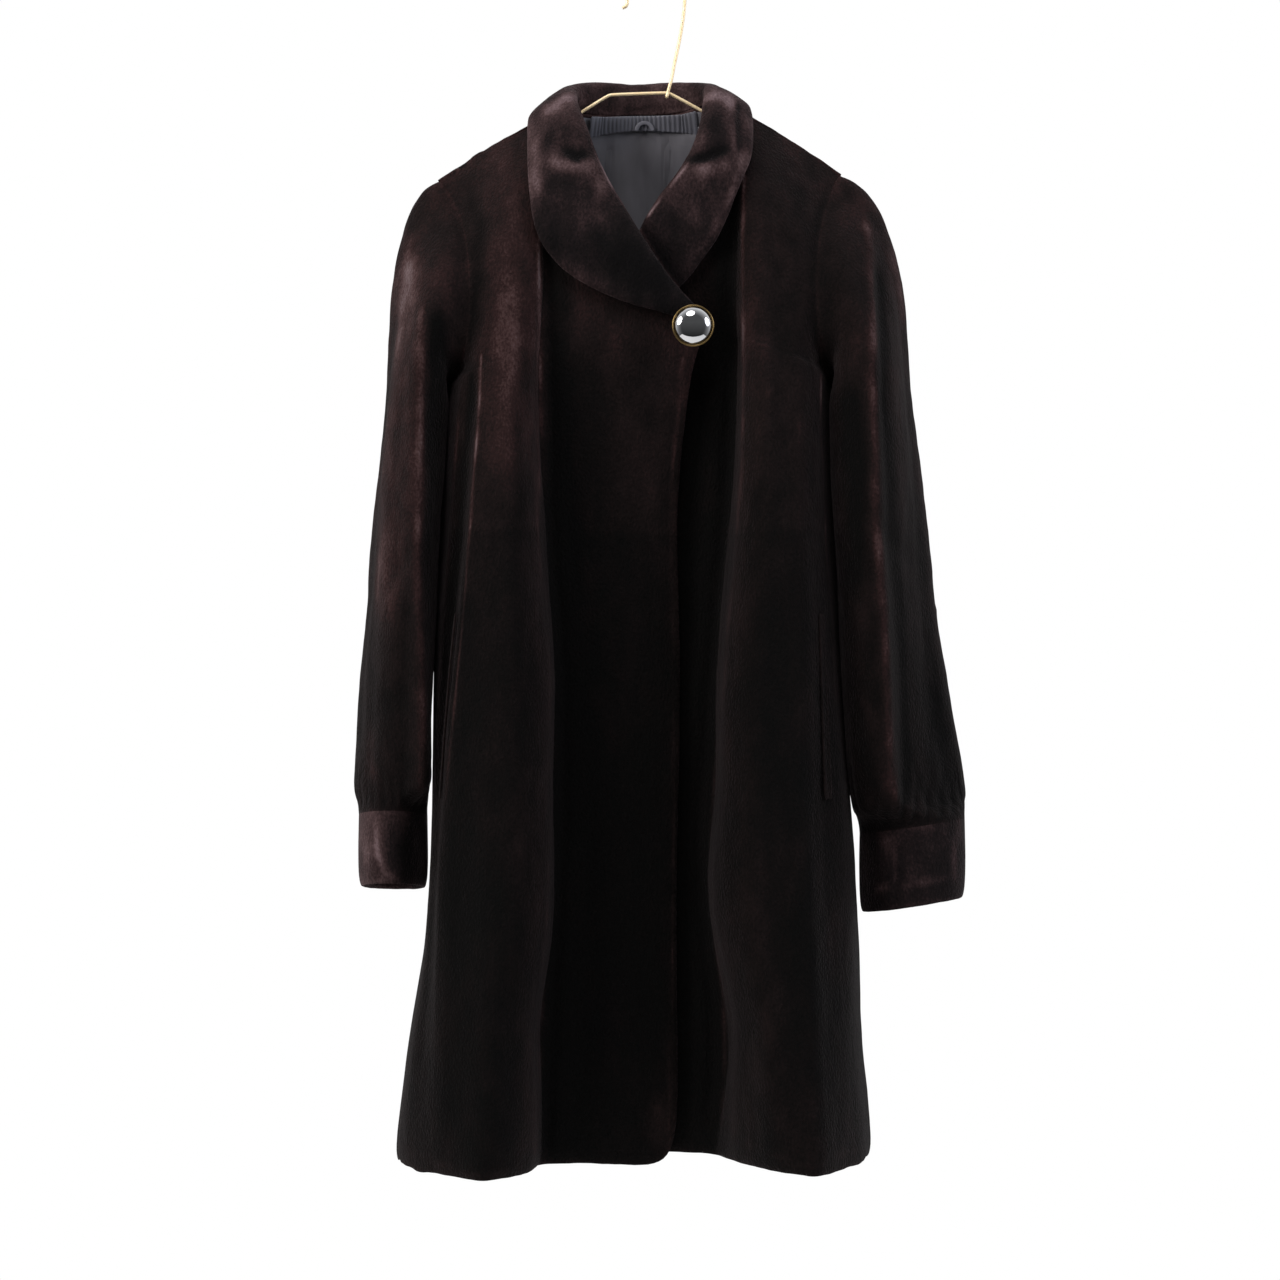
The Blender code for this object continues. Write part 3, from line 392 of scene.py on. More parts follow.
RELIEF = {
    "collar": (
        (4.0, 9, ((-76, 160), (-56, 174), (-40, 168))),
        (-2.2, 13, ((-74, 180), (-34, 188))), (1.6, 8, ((-88, 118), (-66, 101))),
        (1.6, 14, ((-60, 262), (-20, 292))), (1.3, 14, ((-84, 226), (-56, 240))),
        (3.4, 7, ((42, 178), (58, 174), (76, 166))), (-2.0, 11, ((44, 187), (74, 190))),
        (1.4, 4, ((89, 122), (90, 176))), (1.2, 12, ((46, 214), (70, 226))),
    ),
    "front_right": (
        (1.3, 10, beside(ARMHOLE_RIGHT, 3)), (2.4, 20, ((-150, 540), (-160, 1040))),
        (1.8, 22, ((-60, 330), (-66, 560))), (2.2, 26, ((-62, 640), (-40, 1050))),
        (-1.6, 14, ((-112, 230), (-118, 470))), (1.8, 15, ((-122, 700), (-112, 1000))),
        (2.2, 6, beside(FOLD_RIGHT, 9)),
    ),
    "front_left": (
        (1.3, 10, beside(ARMHOLE_LEFT, -3)), (2.0, 15, ((122, 220), (132, 480))),
        (1.8, 8, ((166, 400), (167, 620))), (2.2, 16, ((116, 560), (104, 760))),
        (-2.0, 18, ((98, 800), (122, 1040))), (1.6, 16, ((48, 380), (52, 620))),
        (1.8, 20, ((40, 700), (46, 1040))), (2.0, 16, ((146, 700), (172, 1040))),
        (2.2, 6, beside(FOLD_LEFT, -9)),
    ),
    "back": (
        (3.0, 26, ((-70, 200), (-96, 620))), (3.0, 24, ((60, 210), (92, 640))),
        (3.0, 24, ((-40, 560), (-62, 1040))), (2.6, 26, ((36, 520), (58, 1040))),
        (2.4, 20, ((-130, 420), (-150, 1040))), (2.4, 22, ((122, 430), (150, 1040))),
        (1.4, 18, ((0, 260), (-6, 700))),
    ),
    "sleeve_right": (
        (1.1, 10, beside(ARMHOLE_RIGHT, -8)), (-1.8, 7, RIDGE_RIGHT),
        (2.4, 12, ((-210, 300), (-214, 560))), (1.8, 10, ((-232, 480), (-240, 720))),
        (2.0, 8, ((-204, 560), (-208, 740))), (1.4, 10, ((-196, 520), (-232, 566))),
        (1.4, 12, ((-200, 640), (-240, 676))),
        *((1.0, 3.2, ((-place, 716 + place % 7), (-place + 1, 752)))
          for place in (208, 217, 226, 236, 245, 254)),
    ),
    "sleeve_left": (
        (1.1, 10, beside(ARMHOLE_LEFT, 8)), (-1.8, 7, RIDGE_LEFT),
        (3.0, 7, GROOVE_LEFT), (2.0, 11, ((244, 440), (262, 700))),
        (1.5, 11, ((190, 480), (246, 540))), (1.6, 8, ((262, 640), (280, 740))),
        *((1.0, 3.2, ((place + 3, 722 + place % 7), (place, 762)))
          for place in (206, 218, 230, 241, 253, 266, 277)),
    ),
    "cuff_right": (
        (1.2, 4, ((-236, 764), (-228, 812))), (0.8, 6, ((-206, 762), (-204, 812))),
    ),
    "cuff_left": (
        (1.4, 5, ((236, 772), (226, 828))), (0.8, 7, ((262, 772), (268, 826))),
    ),
    "lining": (
        (1.2, 4, ((-28, 150), (-34, 250))), (1.0, 4, ((26, 146), (20, 230))),
        (0.9, 7, ((2, 190), (8, 290))), (0.8, 4, ((-48, 150), (-44, 200))),
    ),
}

# On a sleeve's outer side, seen from beside it: (fwd, drop) for each point.
SLEEVE_SIDE = (
    (2.0, 12, ((18, 300), (26, 520), (30, 700))), (1.8, 12, ((-30, 330), (-38, 700))),
    (-1.4, 12, ((-4, 260), (-2, 560))), (1.4, 10, ((44, 470), (50, 690))),
    *((1.1, 3.2, ((place, 722 - 6 * (place % 3)), (place * 0.86, 758)))
      for place in (-48, -36, -23, -12, 1, 13, 26, 37, 50)),
)

# Painted highlights and painted shade for each piece, with dark lines on the pelt
# joins.
PAINTED_LIGHT_AND_SEAMS = {
    "collar": (
        (0.26, 8, ((-91, 139), (-68, 118), (-49, 111))),
        (0.3, 8, ((-94, 145), (-93, 190), (-90, 222))),
        (-0.24, 12, ((-74, 150), (-58, 153))),
        (-0.4, 4, ((-66, 167), (-56, 175), (-44, 168))),
        (0.2, 7, ((-82, 176), (-70, 184), (-56, 186), (-44, 181))),
        (0.22, 9, ((-38, 190), (-30, 212))),
        (-0.2, 12, ((-78, 200), (-48, 200))),
        (0.12, 8, ((-40, 236), (-28, 226))),
        (-0.26, 20, ((-30, 252), (4, 272), (32, 296))),
        (0.18, 12, ((-66, 270), (-34, 288), (4, 304))),
        (0.3, 1.8, ((-40, 167), (-33, 184), (-21, 209), (-1, 237), (23, 276),
                    (43, 303))),
        (0.24, 8, ((50, 116), (76, 116), (90, 134))),
        (-0.28, 14, ((58, 140), (72, 150))),
        (-0.4, 3.5, ((43, 177), (58, 174), (77, 166))),
        (0.14, 7, ((46, 184), (61, 188), (80, 180))),
        (0.2, 6, ((84, 170), (90, 140))),
        (0.3, 1.8, ((42, 178), (40, 184), (25, 203), (6, 228))),
        (-0.22, 12, ((22, 226), (46, 246))),
        (0.16, 4, ((92, 169), (81, 208), (54, 258))),
        (-0.3, 3, ((88, 120), (87, 168))),
    ),
    "front_right": (
        (0.24, 2.4, beside(FOLD_RIGHT, -1.0)), (0.1, 8, beside(FOLD_RIGHT, -7)),
        (0.05, 16, beside(FOLD_RIGHT[4:9], -16)),
        (-0.3, 12, beside(FOLD_RIGHT, 16)),
        (-0.1, 34, ((-36, 340), (-30, 1050))), (-0.1, 20, ((10, 560), (4, 1050))),
        (0.26, 1.6, ((-139, 350), (-141, 410), (-147, 506), (-154, 568), (-162, 653),
                     (-170, 740))),
        (-0.3, 5, ((-147, 360), (-149, 410), (-155, 506), (-162, 568), (-170, 653))),
        (0.22, 1.6, ((-159, 400), (-167, 512), (-173, 568), (-178, 654))),
        (0.12, 18, ((-118, 243), (-115, 339), (-117, 470))),
        (0.1, 3, ((-205, 1052), (-147, 1062), (-95, 1059))),
        (0.2, 1.4, CLOSING), (0.1, 7, ((-102, 899), (-98, 1007))),
        (0.14, 9, ((18, 1000), (16, 1046))),
        (-0.1, 9, ARMHOLE_RIGHT),
        (-0.16, 1.6, ((-168, 506), (-140, 508), (-88, 507))),
    ),
    "front_left": (
        (0.24, 2.4, beside(FOLD_LEFT, 2.0)), (0.08, 9, beside(FOLD_LEFT, 9)),
        (-0.3, 12, beside(FOLD_LEFT, -13)), (-0.22, 14, beside(CLOSING, 16)),
        (0.34, 1.7, ((160, 365), (160, 417), (164, 514), (170, 584), (173, 654))),
        (-0.36, 5, ((167, 380), (170, 500), (177, 584), (180, 660))),
        (0.05, 18, ((118, 208), (124, 269), (131, 400))),
        (0.1, 3, ((82, 1036), (139, 1053), (193, 1045))),
        (-0.1, 9, ARMHOLE_LEFT),
        (-0.14, 1.6, ((88, 507), (130, 508), (168, 507))),
    ),
    "back": (
        (0.1, 14, ((-34, 200), (-42, 620), (-20, 1040))),
        (0.12, 16, ((-96, 700), (-104, 1050))), (0.1, 14, ((92, 720), (100, 1050))),
        (0.1, 16, ((30, 230), (26, 480))), (0.08, 12, ((122, 240), (130, 480))),
        (-0.16, 1.6, ((-168, 507), (0, 507), (168, 507))),
    ),
    "sleeve_right": (
        (0.2, 13, ((-202, 247), (-206, 327), (-210, 415), (-214, 513), (-218, 590))),
        (0.14, 8, ((-206, 230), (-215, 327), (-222, 415), (-230, 513), (-236, 590))),
        (0.14, 3.5, RIDGE_RIGHT), (-0.42, 9, beside(RIDGE_RIGHT, 13)),
        (-0.1, 8, beside(ARMHOLE_RIGHT, -2)),
        (0.14, 7, ((-240, 672), (-234, 730))), (0.1, 8, ((-190, 214), (-172, 214))),
    ),
    "sleeve_left": (
        (0.2, 7, ((222, 246), (234, 299), (244, 370), (255, 477))),
        (0.1, 6, ((262, 520), (274, 640))),
        (0.16, 5, RIDGE_LEFT), (-0.34, 6, GROOVE_LEFT),
        (-0.1, 8, beside(ARMHOLE_LEFT, 2)), (-0.3, 10, ((184, 380), (190, 560))),
        (0.16, 7, ((200, 654), (211, 707), (216, 742))),
        (0.1, 8, ((190, 226), (206, 236))),
    ),
    "cuff_right": (
        (0.18, 3, ((-234, 764), (-232, 787), (-226, 804), (-212, 812))),
        (0.1, 12, ((-238, 770), (-228, 806))), (-0.6, 20, ((-196, 756), (-196, 812))),
    ),
    "cuff_left": (
        (0.3, 9, ((219, 768), (220, 790))), (0.16, 2.5, ((224, 780), (226, 818))),
        (0.14, 3, ((206, 824), (226, 816), (276, 812))),
        (0.22, 4, ((278, 772), (279, 818))), (0.12, 3, ((214, 762), (274, 766))),
    ),
    "lining": (
        (0.14, 22, ((-6, 160), (0, 230))), (-0.1, 4, ((-28, 150), (-34, 250))),
        (-0.1, 4, ((26, 146), (20, 230))), (-0.1, 14, ((-50, 140), (-30, 220))),
    ),
}

# Tone by drop, before the strokes: lighter toward the top, which is painted
# light falling from above, and a step darker at the pelt join, where the lower
# pelts are darker in their own colour. Pieces on the wearer's left, away from
# the light, are set darker as painted shade, and the collar and lining are
# darker further down, also painted shade.
BODY_TONE_AND_LIGHT = ((90, 0.4), (250, 0.36), (470, 0.28), (504, 0.26), (510, 0.17), (700, 0.13),
             (1070, 0.12))
TONES_AND_LIGHT = {
    "front_left": ((90, 0.36), (250, 0.29), (470, 0.23), (504, 0.22), (510, 0.14),
                   (700, 0.11), (1070, 0.1)),
    "sleeve_right": ((180, 0.38), (540, 0.34), (580, 0.26), (750, 0.18)),
    "sleeve_left": ((180, 0.34), (400, 0.26), (560, 0.2), (580, 0.15), (750, 0.12)),
    "collar": ((80, 0.46), (180, 0.42), (240, 0.27), (310, 0.16)),
    "cuff_right": ((750, 0.48), (830, 0.44)), "cuff_left": ((750, 0.27), (840, 0.22)),
    "lining": ((110, 0.5), (300, 0.4)), "band": ((110, 0.55), (135, 0.5)),
}
# Brushed patches: how strongly the pile wanders over about 40 and 12 mm.
PATCHY = {"collar": (0.12, 0.13), "cuff_right": (0.12, 0.12), "cuff_left": (0.12, 0.1),
          "lining": (0.05, 0.02), "band": (0.0, 0.0)}


# Steps of the skin's own unevenness, (across, down) in mm.
WAVES, LUMPS = (38, 90), (9, 16)
TROUGH_SHADE = 0.035  # painted shade: how much darker a place is set for each millimetre pressed in
CREST_HIGHLIGHT_HOLLOW_SHADE = 0.0018  # painted highlight on crests, painted shade in hollows: this share of the light side's range for each unit of curvature (1/m)


def strokes(rows, x, drop, broken=0.0):
    """Adds up a table's strokes, the thin ones more broken than the wide."""
    total = np.zeros(len(x))
    for amount, half, line in rows:
        off, run_at, run_all = np.full(len(x), 1e6), np.zeros(len(x)), 0.0
        for (ax, ad), (bx, bd) in zip(line, line[1:]):
            run, fall = bx - ax, bd - ad
            length = math.hypot(run, fall)
            share = np.clip(((x - ax) * run + (drop - ad) * fall) / length ** 2, 0, 1)
            here = np.hypot(x - ax - share * run, drop - ad - share * fall)
            nearer = here < off
            off = np.where(nearer, here, off)
            run_at = np.where(nearer, run_all + share * length, run_at)
            run_all += length
        ends = np.clip(np.minimum(run_at, run_all - run_at) / (2.5 * half) + 0.3, 0, 1)
        sway = 1 + broken * min(1.0, 4 / half)
        total += amount * np.exp(-1.2 * (off / half) ** 2) * ends * sway
    return total


def smoothed(values, ends, rounds):
    """Each value averaged with its neighbours', as often as asked."""
    count = len(values)
    share = np.bincount(ends.ravel(), minlength=count) + 1
    first, second = ends[:, 0], ends[:, 1]
    for _ in range(rounds):
        near = np.bincount(first, values[second], count)
        near += np.bincount(second, values[first], count)
        values = (values + near) / share
    return values


def mesh_values(mesh):
    """The mesh's points, normals and edges as arrays."""
    spots = np.empty(len(mesh.vertices) * 3)
    mesh.vertices.foreach_get("co", spots)
    ways = np.empty(len(mesh.vertices) * 3)
    mesh.vertex_normals.foreach_get("vector", ways)
    ends = np.empty(len(mesh.edges) * 2, dtype=np.int64)
    mesh.edges.foreach_get("vertices", ends)
    return spots.reshape(-1, 3), ways.reshape(-1, 3), ends.reshape(-1, 2)


def lined_points(mesh):
    """Which points of a subdivided mesh lie on its lined inner skin."""
    inner = np.zeros(len(mesh.vertices), dtype=bool)
    if len(mesh.loops) != 4 * len(mesh.polygons):
        return inner
    corners = np.empty(len(mesh.loops), dtype=np.int64)
    mesh.loops.foreach_get("vertex_index", corners)
    slots = np.empty(len(mesh.polygons), dtype=np.int64)
    mesh.polygons.foreach_get("material_index", slots)
    inner[corners.reshape(-1, 4)[slots == 1].ravel()] = True
    return inner


def rumpled(spots, size, tall, seed):
    """Soft noise with one step every size (mm) across and tall down."""
    return np.array([
        noise.noise(Vector((x / size, y / size + seed, z / tall)))
        for x, y, z in (spots / MM).tolist()
    ])


def crests(spots, ways, ends):
    """How far each place stands out as a crest (+) or lies in a hollow (-)."""
    first, second = ends[:, 0], ends[:, 1]
    step = spots[first] - spots[second]
    far = np.maximum((step ** 2).sum(1), 1e-12)
    count = len(spots)
    total = np.bincount(first, (step * ways[first]).sum(1) / far, count)
    total -= np.bincount(second, (step * ways[second]).sum(1) / far, count)
    number = np.maximum(np.bincount(ends.ravel(), minlength=count), 1)
    return smoothed(total / number, ends, 4)


def drape(piece, key, wave, lumps, both_sides=False):
    """Presses the folds in, makes the skin a little uneven as pelts are, and
    stores for the material the fur's tone with painted light: highlights on
    crests and fold edges, painted shade in troughs, creases and hollows."""
    mesh = piece.data
    spots, ways, ends = mesh_values(mesh)
    inner = lined_points(mesh)
    ways[inner] *= -1  # both skins of a wall move the same way
    x, drop = spots[:, 0] / MM - CENTRE_X, -spots[:, 2] / MM
    facing = ways[:, 1] if key == "back" else -ways[:, 1]
    facing = np.clip(facing * 1.6, 0, 1)
    if both_sides:
        facing = np.ones(len(x))
    pressed = strokes(RELIEF.get(key, ()), x, drop) * facing
    if key.startswith("sleeve"):
        outward = np.clip(np.abs(ways[:, 0]) * 1.5 - 0.3, 0, 1)
        pressed += strokes(SLEEVE_SIDE, -spots[:, 1] / MM, drop) * outward
    push = -pressed
    if wave:
        push += rumpled(spots, *WAVES, 0) * wave
    if lumps:
        push += rumpled(spots, *LUMPS, 7) * lumps
    if "hold" in mesh.attributes:
        hold = np.empty(len(x))
        mesh.attributes["hold"].data.foreach_get("value", hold)
        mesh.attributes.remove(mesh.attributes["hold"])
        push *= 1 - np.clip(hold, 0, 1)
    spots += ways * push[:, None] * MM
    mesh.vertices.foreach_set("co", spots.ravel())
    mesh.update()
    ways = mesh_values(mesh)[1]
    # Tone by drop: the pelts' own colour with painted light from above and painted
    # shade on the far side.
    drops, levels = zip(*TONES_AND_LIGHT.get(key, BODY_TONE_AND_LIGHT))
    tone_and_painted_light = np.interp(drop, drops, levels)
    broken = 1.1 * rumpled(spots, 14, 30, 5)
    # Painted highlights and painted shade from the strokes, on the sides that face the
    # front.
    tone_and_painted_light += strokes(PAINTED_LIGHT_AND_SEAMS.get(key, ()), x, drop, broken) * np.clip(facing * 2, 0, 1)
    # Painted shade in the pressed troughs, painted highlight on the raised ridges.
    tone_and_painted_light -= np.clip(pressed, -2, 3) * TROUGH_SHADE
    # Painted highlight on crests and painted shade in hollows, by curvature.
    tone_and_painted_light += np.clip(crests(spots, ways, ends) * CREST_HIGHLIGHT_HOLLOW_SHADE, -0.2, 0.12)
    wide, near = PATCHY.get(key, (0.15, 0.1))
    tone_and_painted_light += rumpled(spots, 40, 90, 3) * wide + rumpled(spots, 12, 22, 11) * near
    layer = mesh.attributes.new("tone_and_painted_light", "FLOAT", "POINT")
    layer.data.foreach_set("value", np.clip(tone_and_painted_light, 0.0, 1.0).astype(np.float32))


# ---------------------------------------------------------------- fur pieces
PANELS = (
    # name, its CAD nodes, drop of the pelt join, the hollow's axis, and the cut:
    # width, length (m) and area (m2). All cuts here are estimates.
    ("front_right", ("front_right_lower", "front_right_upper"), PELT_JOIN,
     (-0.09, 0.0), (0.42, 0.96, 0.34)),
    ("front_left", ("front_left_lower", "front_left_upper"), PELT_JOIN,
     (0.07, 0.0), (0.42, 0.96, 0.34)),
    ("back", ("back_lower", "back_upper"), PELT_JOIN, (-0.0144, 0.0),
     (0.56, 0.96, 0.48)),
    ("sleeve_right", ("sleeve_right_upper", "sleeve_right_lower"), SLEEVE_JOIN,
     (-0.228, 0.0), (0.36, 0.62, 0.18)),
    ("sleeve_left", ("sleeve_left_upper", "sleeve_left_lower"), SLEEVE_JOIN,
     (0.215, 0.0), (0.38, 0.62, 0.2)),
)


def fur_panel(name, nodes, join, axis, cut):
    bm = merged_copy(nodes)
    close_join(bm, join)
    line_inside(bm, Vector((*axis, 0)))
    close_seams(bm, nodes)
    piece = settle("mink_" + name, bm, (BODY_FUR, SATIN), 3)
    drape(piece, name, 1.2, 0.4)
    finished(piece, "sheared_mink", *nodes)


def cuff(side, axis):
    node = "cuff_" + side
    bm = merged_copy((node,))
    line_inside(bm, Vector((*axis, 0)))
    close_seams(bm, (node,))
    piece = settle("mink_" + node, bm, (COLLAR_FUR, SATIN), 3)
    drape(piece, node, 0.7, 0.3)
    finished(piece, "sheared_mink", node)


def collar():
    """Both halves, with their seam at the centre back closed by the fur."""
    nodes = ("collar_right", "collar_left")
    bm = merged_copy(nodes)
    ends = [f for f in bm.faces
            if abs(as_coat(f.calc_center_median())[0]) < CENTRE_NEAR
            and abs(f.normal.x) > 0.95 and f.calc_center_median().y > 0]
    bmesh.ops.delete(bm, geom=ends, context="FACES_ONLY")
    near = [v for v in bm.verts if abs(as_coat(v.co)[0]) < CENTRE_NEAR and v.co.y > 0]
    bmesh.ops.remove_doubles(bm, verts=near, dist=SEAM_REACH)
    close_seams(bm, nodes)
    piece = settle("mink_collar", bm, (COLLAR_FUR,), 3)
    drape(piece, "collar", 1.1, 0.4)
    finished(piece, "sheared_mink", *nodes)


def pocket_lip(side):
    node = "pocket_" + side
    piece = settle("mink_" + node, merged_copy((node,)), (BODY_FUR,), 2)
    drape(piece, node, 0.0, 0.1)
    finished(piece, "sheared_mink", node)


BAND_STRETCH = 7.0  # the band's left end goes under the collar


def satin_pieces():
    lining = settle("satin_lining", merged_copy(("lining_back",)), (SATIN,), 2)
    drape(lining, "lining", 0.5, 0.12, both_sides=True)
    finished(lining, "lining_satin", "lining_back")
    band = settle("satin_neck_band", merged_copy(("neck_band",)), (BAND_SATIN,), 2)
    low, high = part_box("neck_band")
    for vertex in band.data.vertices:
        along = (vertex.co.x - low.x) / (high.x - low.x)
        vertex.co.x += BAND_STRETCH * MM * max(0.0, along - 0.5) ** 1.5 * 2.83
    drape(band, "band", 0.0, 0.0)
    finished(band, "lining_satin", "neck_band")


# ---------------------------------------------------------------- small parts
def swept(name, points, ring, material):
    """A bar of the ring's section (mm) pulled along points (mm, world)."""
    bm = bmesh.new()
    path = [Vector(p) * MM for p in points]
    side = None
    for i, spot in enumerate(path):
        way = (path[min(i + 1, len(path) - 1)] - path[max(i - 1, 0)]).normalized()
        if side is None:
            side = way.cross(Vector((0, 1, 0))).normalized()
        side = (side - way * side.dot(way)).normalized()
        other = way.cross(side)
        spots = [bm.verts.new(spot + (side * a + other * b) * MM) for a, b in ring]
        edges = [bm.edges.new((a, b)) for a, b in zip(spots, spots[1:] + spots[:1])]
        if i:
            bmesh.ops.bridge_loops(bm, edges=last + edges)
        last = edges
        if i in (0, len(path) - 1):
            bmesh.ops.contextual_create(bm, geom=edges)
    bmesh.ops.recalc_face_normals(bm, faces=bm.faces)
    return settle(name, bm, (material,))


def round_section(radius, count):
    return [(radius * math.cos(2 * math.pi * i / count),
             radius * math.sin(2 * math.pi * i / count)) for i in range(count)]


def wire(name, points, radius):
    """A round wire drawn along points (mm, world)."""
    line = bpy.data.curves.new(name, "CURVE")
    line.dimensions, line.bevel_depth, line.bevel_resolution = "3D", radius * MM, 4
    line.use_fill_caps = True
    run = line.splines.new("POLY")
    run.points.add(len(points) - 1)
    for spot, point in zip(run.points, points):
        spot.co = (*(Vector(point) * MM), 1)
    holder = bpy.data.objects.new(name, line)
    bpy.context.scene.collection.objects.link(holder)
    bpy.context.view_layer.update()
    mesh = bpy.data.meshes.new_from_object(
        holder.evaluated_get(bpy.context.evaluated_depsgraph_get()))
    bpy.data.objects.remove(holder)
    bm = bmesh.new()
    bm.from_mesh(mesh)
    bmesh.ops.remove_doubles(bm, verts=bm.verts, dist=0.01 * MM)
    bmesh.ops.recalc_face_normals(bm, faces=bm.faces)
    return settle(name, bm, (GOLD,))


WIRE = 1.5
ARMS = (
    (-187, 208.1), (-184, 202.6), (-178, 198.1), (-72, 138.1), (-60, 131),
    (-49.5, 124.2), (-29.5, 112), (-25, 110.6), (23, 108.9), (28, 110.2),
    (54.9, 124.5), (72, 134.5), (172, 193), (178, 197.5), (181, 203),
)
STEM = ((23.8, 114), (25.6, 107), (27.9, 99), (30.8, 84), (36, 59), (39, 40))
STEM_LIFT = (3.15, 3.15, 3.15, 1.57, 0, 0)
HOOK_RADIUS = 26.0


def rounded(points, steps):
    """The points with each bend softened."""
    out = []
    last = len(points) - 1
    for i in range(last):
        a, b = Vector(points[i]), Vector(points[i + 1])
        before = Vector(points[i - 1]) if i else 2 * a - b
        after = Vector(points[i + 2]) if i + 2 <= last else 2 * b - a
        p, q = (b - before) / 2, (after - a) / 2
        p = p.normalized() * min(p.length, (b - a).length)
        q = q.normalized() * min(q.length, (b - a).length)
        for k in range(steps):
            t = k / steps
            out.append((2*t**3 - 3*t**2 + 1) * a + (t**3 - 2*t**2 + t) * p
                       + (3*t**2 - 2*t**3) * b + (t**3 - t**2) * q)
    return out + [Vector(points[-1])]


def hanger():
    arms = rounded([(CENTRE_X + x, 0, -drop) for x, drop in ARMS], 6)
    finished(wire("wire_arms", arms, WIRE), "gold_wire", "hanger_bar",
             "hanger_arm_right", "hanger_arm_left")
    path = [(CENTRE_X + x, -lift, -drop) for (x, drop), lift in zip(STEM, STEM_LIFT)]
    for i in range(19):
        angle = (math.pi + 0.12) * i / 18
        path.append((HOOK_RADIUS * math.cos(angle), 0,
                     WIRE - HOOK_RADIUS + HOOK_RADIUS * math.sin(angle)))
    end = Vector(path[-1])
    path += [end + Vector((-1.2, 0, -3.2)), end + Vector((-4.4, 0, -4.8))]
    finished(wire("wire_hook", rounded(path, 4), WIRE), "gold_wire", "hanger_hook")


BUTTON_X, BUTTON_DROP, BUTTON_FWD = 46.3, 327.0, 76.5
BUTTON_RADIUS, BUTTON_DOME, RIM = 18.4, 8.0, 0.8
DOME_START = 0.16  # radians up the dome, where it leaves its flat edge


def turned(name, profile, material, steps):
    """A closed form spun about the button's axis from (radius, fwd) in mm."""
    bm = bmesh.new()
    centre = Vector((CENTRE_X + BUTTON_X, 0, -BUTTON_DROP)) * MM
    spots = [bm.verts.new(centre + Vector((r, -f, 0)) * MM) for r, f in profile]
    pairs = list(zip(spots, spots[1:]))
    if profile[0][0] > 0:
        pairs.append((spots[-1], spots[0]))
    edges = [bm.edges.new(pair) for pair in pairs]
    bmesh.ops.spin(bm, geom=spots + edges, cent=centre, axis=(0, 1, 0),
                   angle=2 * math.pi, steps=steps, use_merge=True, use_duplicate=False)
    bmesh.ops.remove_doubles(bm, verts=bm.verts, dist=0.001 * MM)
    bmesh.ops.recalc_face_normals(bm, faces=bm.faces)
    return settle(name, bm, (material,))


def button():
    fwd, inner = BUTTON_FWD, BUTTON_RADIUS - 2 * RIM - 0.1
    dome = [(0, fwd), (inner * 0.6, fwd), (inner - 0.6, fwd + 0.2), (inner, fwd + 1.0)]
    for i in range(15):
        angle = DOME_START + (math.pi / 2 - DOME_START) * i / 15
        dome.append((inner * math.cos(angle), fwd + BUTTON_DOME * math.sin(angle)))
    dome.append((0, fwd + BUTTON_DOME))
    finished(turned("mirror_button", dome, MIRROR, 96), "mirror_metal", "button")
    middle = BUTTON_RADIUS - RIM
    bead = [(middle + a, fwd + 1.6 + b) for a, b in round_section(RIM, 14)]
    finished(turned("button_bead", bead, RIM_GOLD, 96), "gold_wire", "button_rim")
    shank = [(0, 57.5), (1.8, 57.5), (2.2, 58.6), (1.6, 66), (2.2, fwd - 0.6),
             (0, fwd - 0.4)]
    finished(turned("thread_shank", shank, THREAD, 24), "button_thread", "button_shank")


def tape_loop():
    """The hanging loop: a narrow flat tape, folded into a low arch."""
    low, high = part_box("hanging_loop")
    middle, half = (low + high) / 2 / MM, (high - low) / 2 / MM
    path = []
    for i in range(25):
        angle = math.pi * i / 24
        path.append((middle.x - (half.x - 1.7) * math.cos(angle), middle.y,
                     middle.z - half.z + (2 * half.z - 1.7) * math.sin(angle)))
    ring = [(-1.7, -0.3), (-1.4, -0.45), (1.4, -0.45), (1.7, -0.3),
            (1.7, 0.3), (1.4, 0.45), (-1.4, 0.45), (-1.7, 0.3)]
    loop = swept("satin_hanging_loop", path, ring, BAND_SATIN)
    drape(loop, "band", 0.0, 0.0)
    finished(loop, "lining_satin", "hanging_loop")


for panel in PANELS:
    fur_panel(*panel)
cuff("right", (-0.236, 0.0))
cuff("left", (0.2305, 0.0))
collar()
for side in ("right", "left"):
    pocket_lip(side)
satin_pieces()
hanger()
button()
tape_loop()


# ---------------------------------------------------------------- the studio
def stage_floor():
    bm = bmesh.new()
    bmesh.ops.create_grid(bm, x_segments=1, y_segments=1, size=2.0)
    bmesh.ops.translate(bm, vec=(CENTRE_X * MM, 0, -1.7), verts=bm.verts)
    material, _, shader = new_material("pale_studio_floor", Roughness=0.8)
    shader.inputs["Base Color"].default_value = srgb("#e6e6e4")
    floor = settle("studio_floor", bm, (material,))


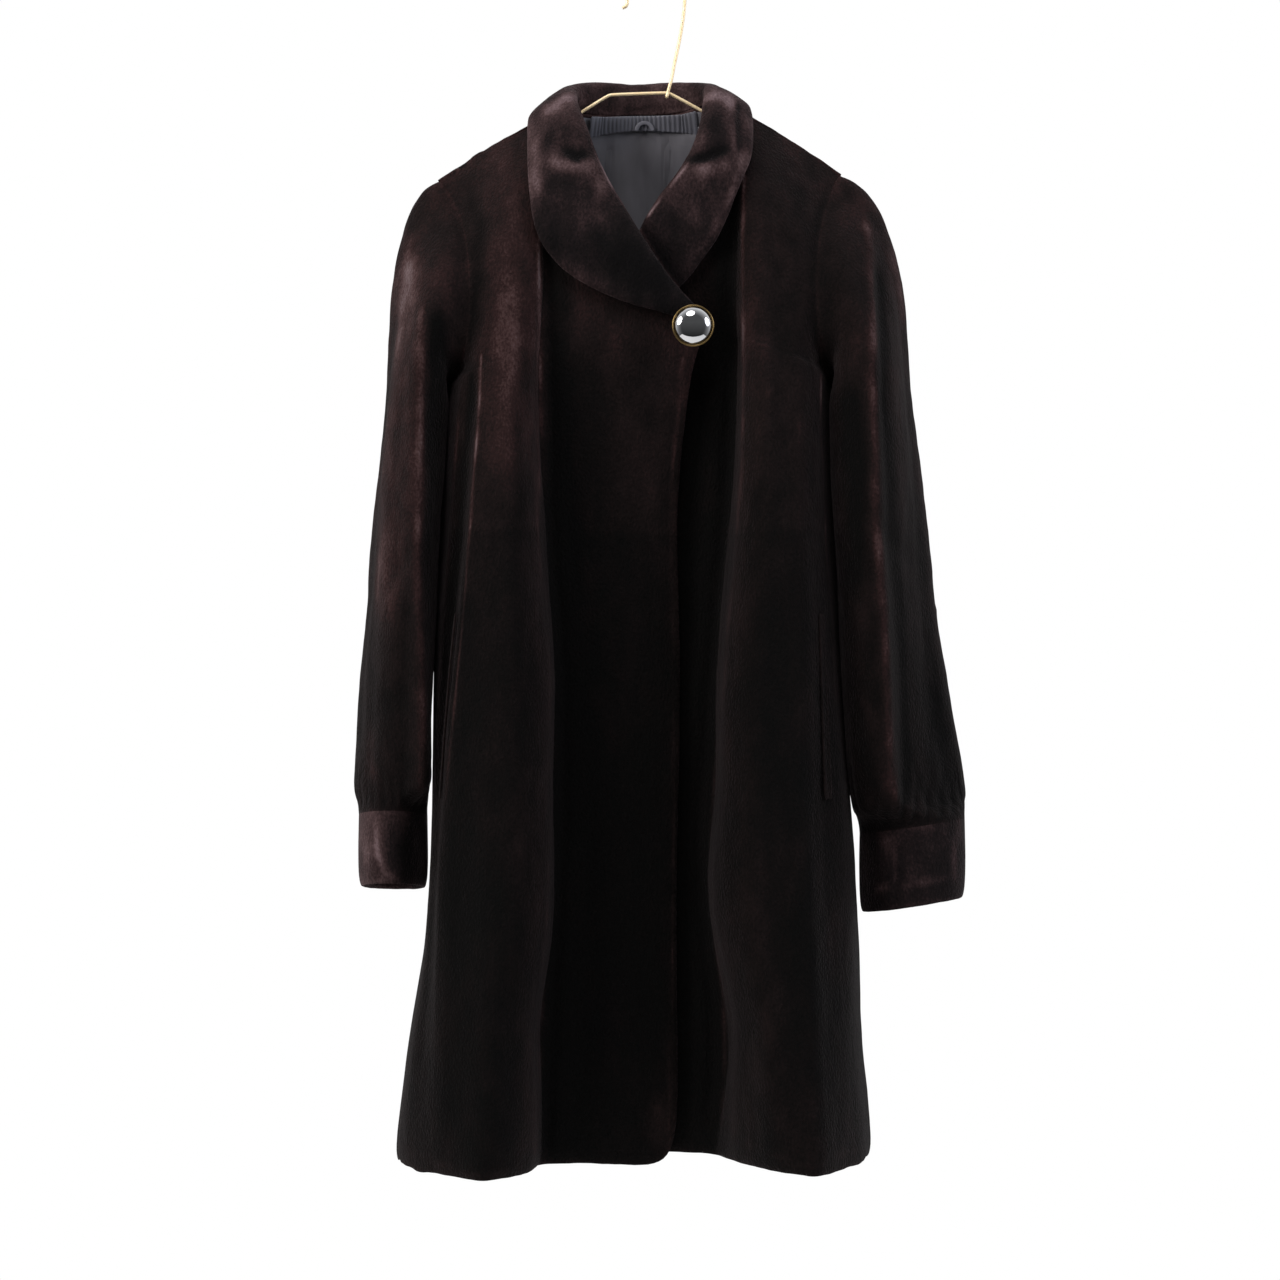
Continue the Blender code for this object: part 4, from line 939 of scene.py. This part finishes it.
def area_light(name, spot, size, watts, colour):
    lamp = bpy.data.lights.new(name, "AREA")
    lamp.shape, lamp.size, lamp.energy = "DISK", size, watts
    lamp.color = srgb(colour)[:3]
    holder = bpy.data.objects.new(name, lamp)
    bpy.context.scene.collection.objects.link(holder)
    holder.location = spot
    aim = Vector((CENTRE_X * MM, 0, -0.45)) - Vector(spot)
    holder.rotation_euler = aim.to_track_quat("-Z", "Y").to_euler()


def pale_world():
    """A white room, darker toward the front and below, with bright sides."""
    world = bpy.data.worlds.new("pale_room")
    bpy.context.scene.world = world
    world.use_nodes = True
    tree = world.node_tree
    way = add_node(tree, "ShaderNodeTexCoord").outputs["Generated"]
    part = add_node(tree, "ShaderNodeSeparateXYZ", {}, {0: way})
    front = add_node(
        tree, "ShaderNodeMapRange",
        {"From Min": -0.75, "From Max": 0.1, "To Min": 0.1, "To Max": 1.0},
        {"Value": part.outputs["Y"]},
    ).outputs[0]
    below = add_node(
        tree, "ShaderNodeMapRange",
        {"From Min": -0.5, "From Max": 0.25, "To Min": 0.3, "To Max": 1.0},
        {"Value": part.outputs["Z"]},
    ).outputs[0]
    room = add_node(tree, "ShaderNodeMath", {}, {0: front, 1: below},
                    operation="MULTIPLY").outputs[0]
    seen = add_node(tree, "ShaderNodeLightPath").outputs["Is Camera Ray"]
    level = add_node(
        tree, "ShaderNodeMix", {3: 1.0}, {0: seen, 2: room}, data_type="FLOAT",
    )
    tree.links.new(level.outputs[0], tree.nodes["Background"].inputs["Strength"])
    tree.nodes["Background"].inputs["Color"].default_value = srgb("#ffffff")


def camera():
    """Square to the coat at mid height, as the photograph was taken."""
    view = bpy.data.cameras.new("front_view")
    view.sensor_width, view.lens = 36.0, 78.125
    holder = bpy.data.objects.new("front_view", view)
    bpy.context.scene.collection.objects.link(holder)
    holder.location = (CENTRE_X * MM, -2.5, -0.6012)
    holder.rotation_euler = (math.pi / 2, 0, 0)
    bpy.context.scene.camera = holder


stage_floor()
pale_world()
area_light("window_left", (-2.2, -1.5, 0.7), 1.4, 60, "#fff8f4")
area_light("window_right", (2.3, -1.3, 0.5), 1.4, 34, "#f4f6ff")
area_light("ceiling_front", (-0.3, -1.7, 1.6), 1.2, 22, "#fffaf6")
camera()
bpy.context.scene.view_settings.view_transform = "Standard"
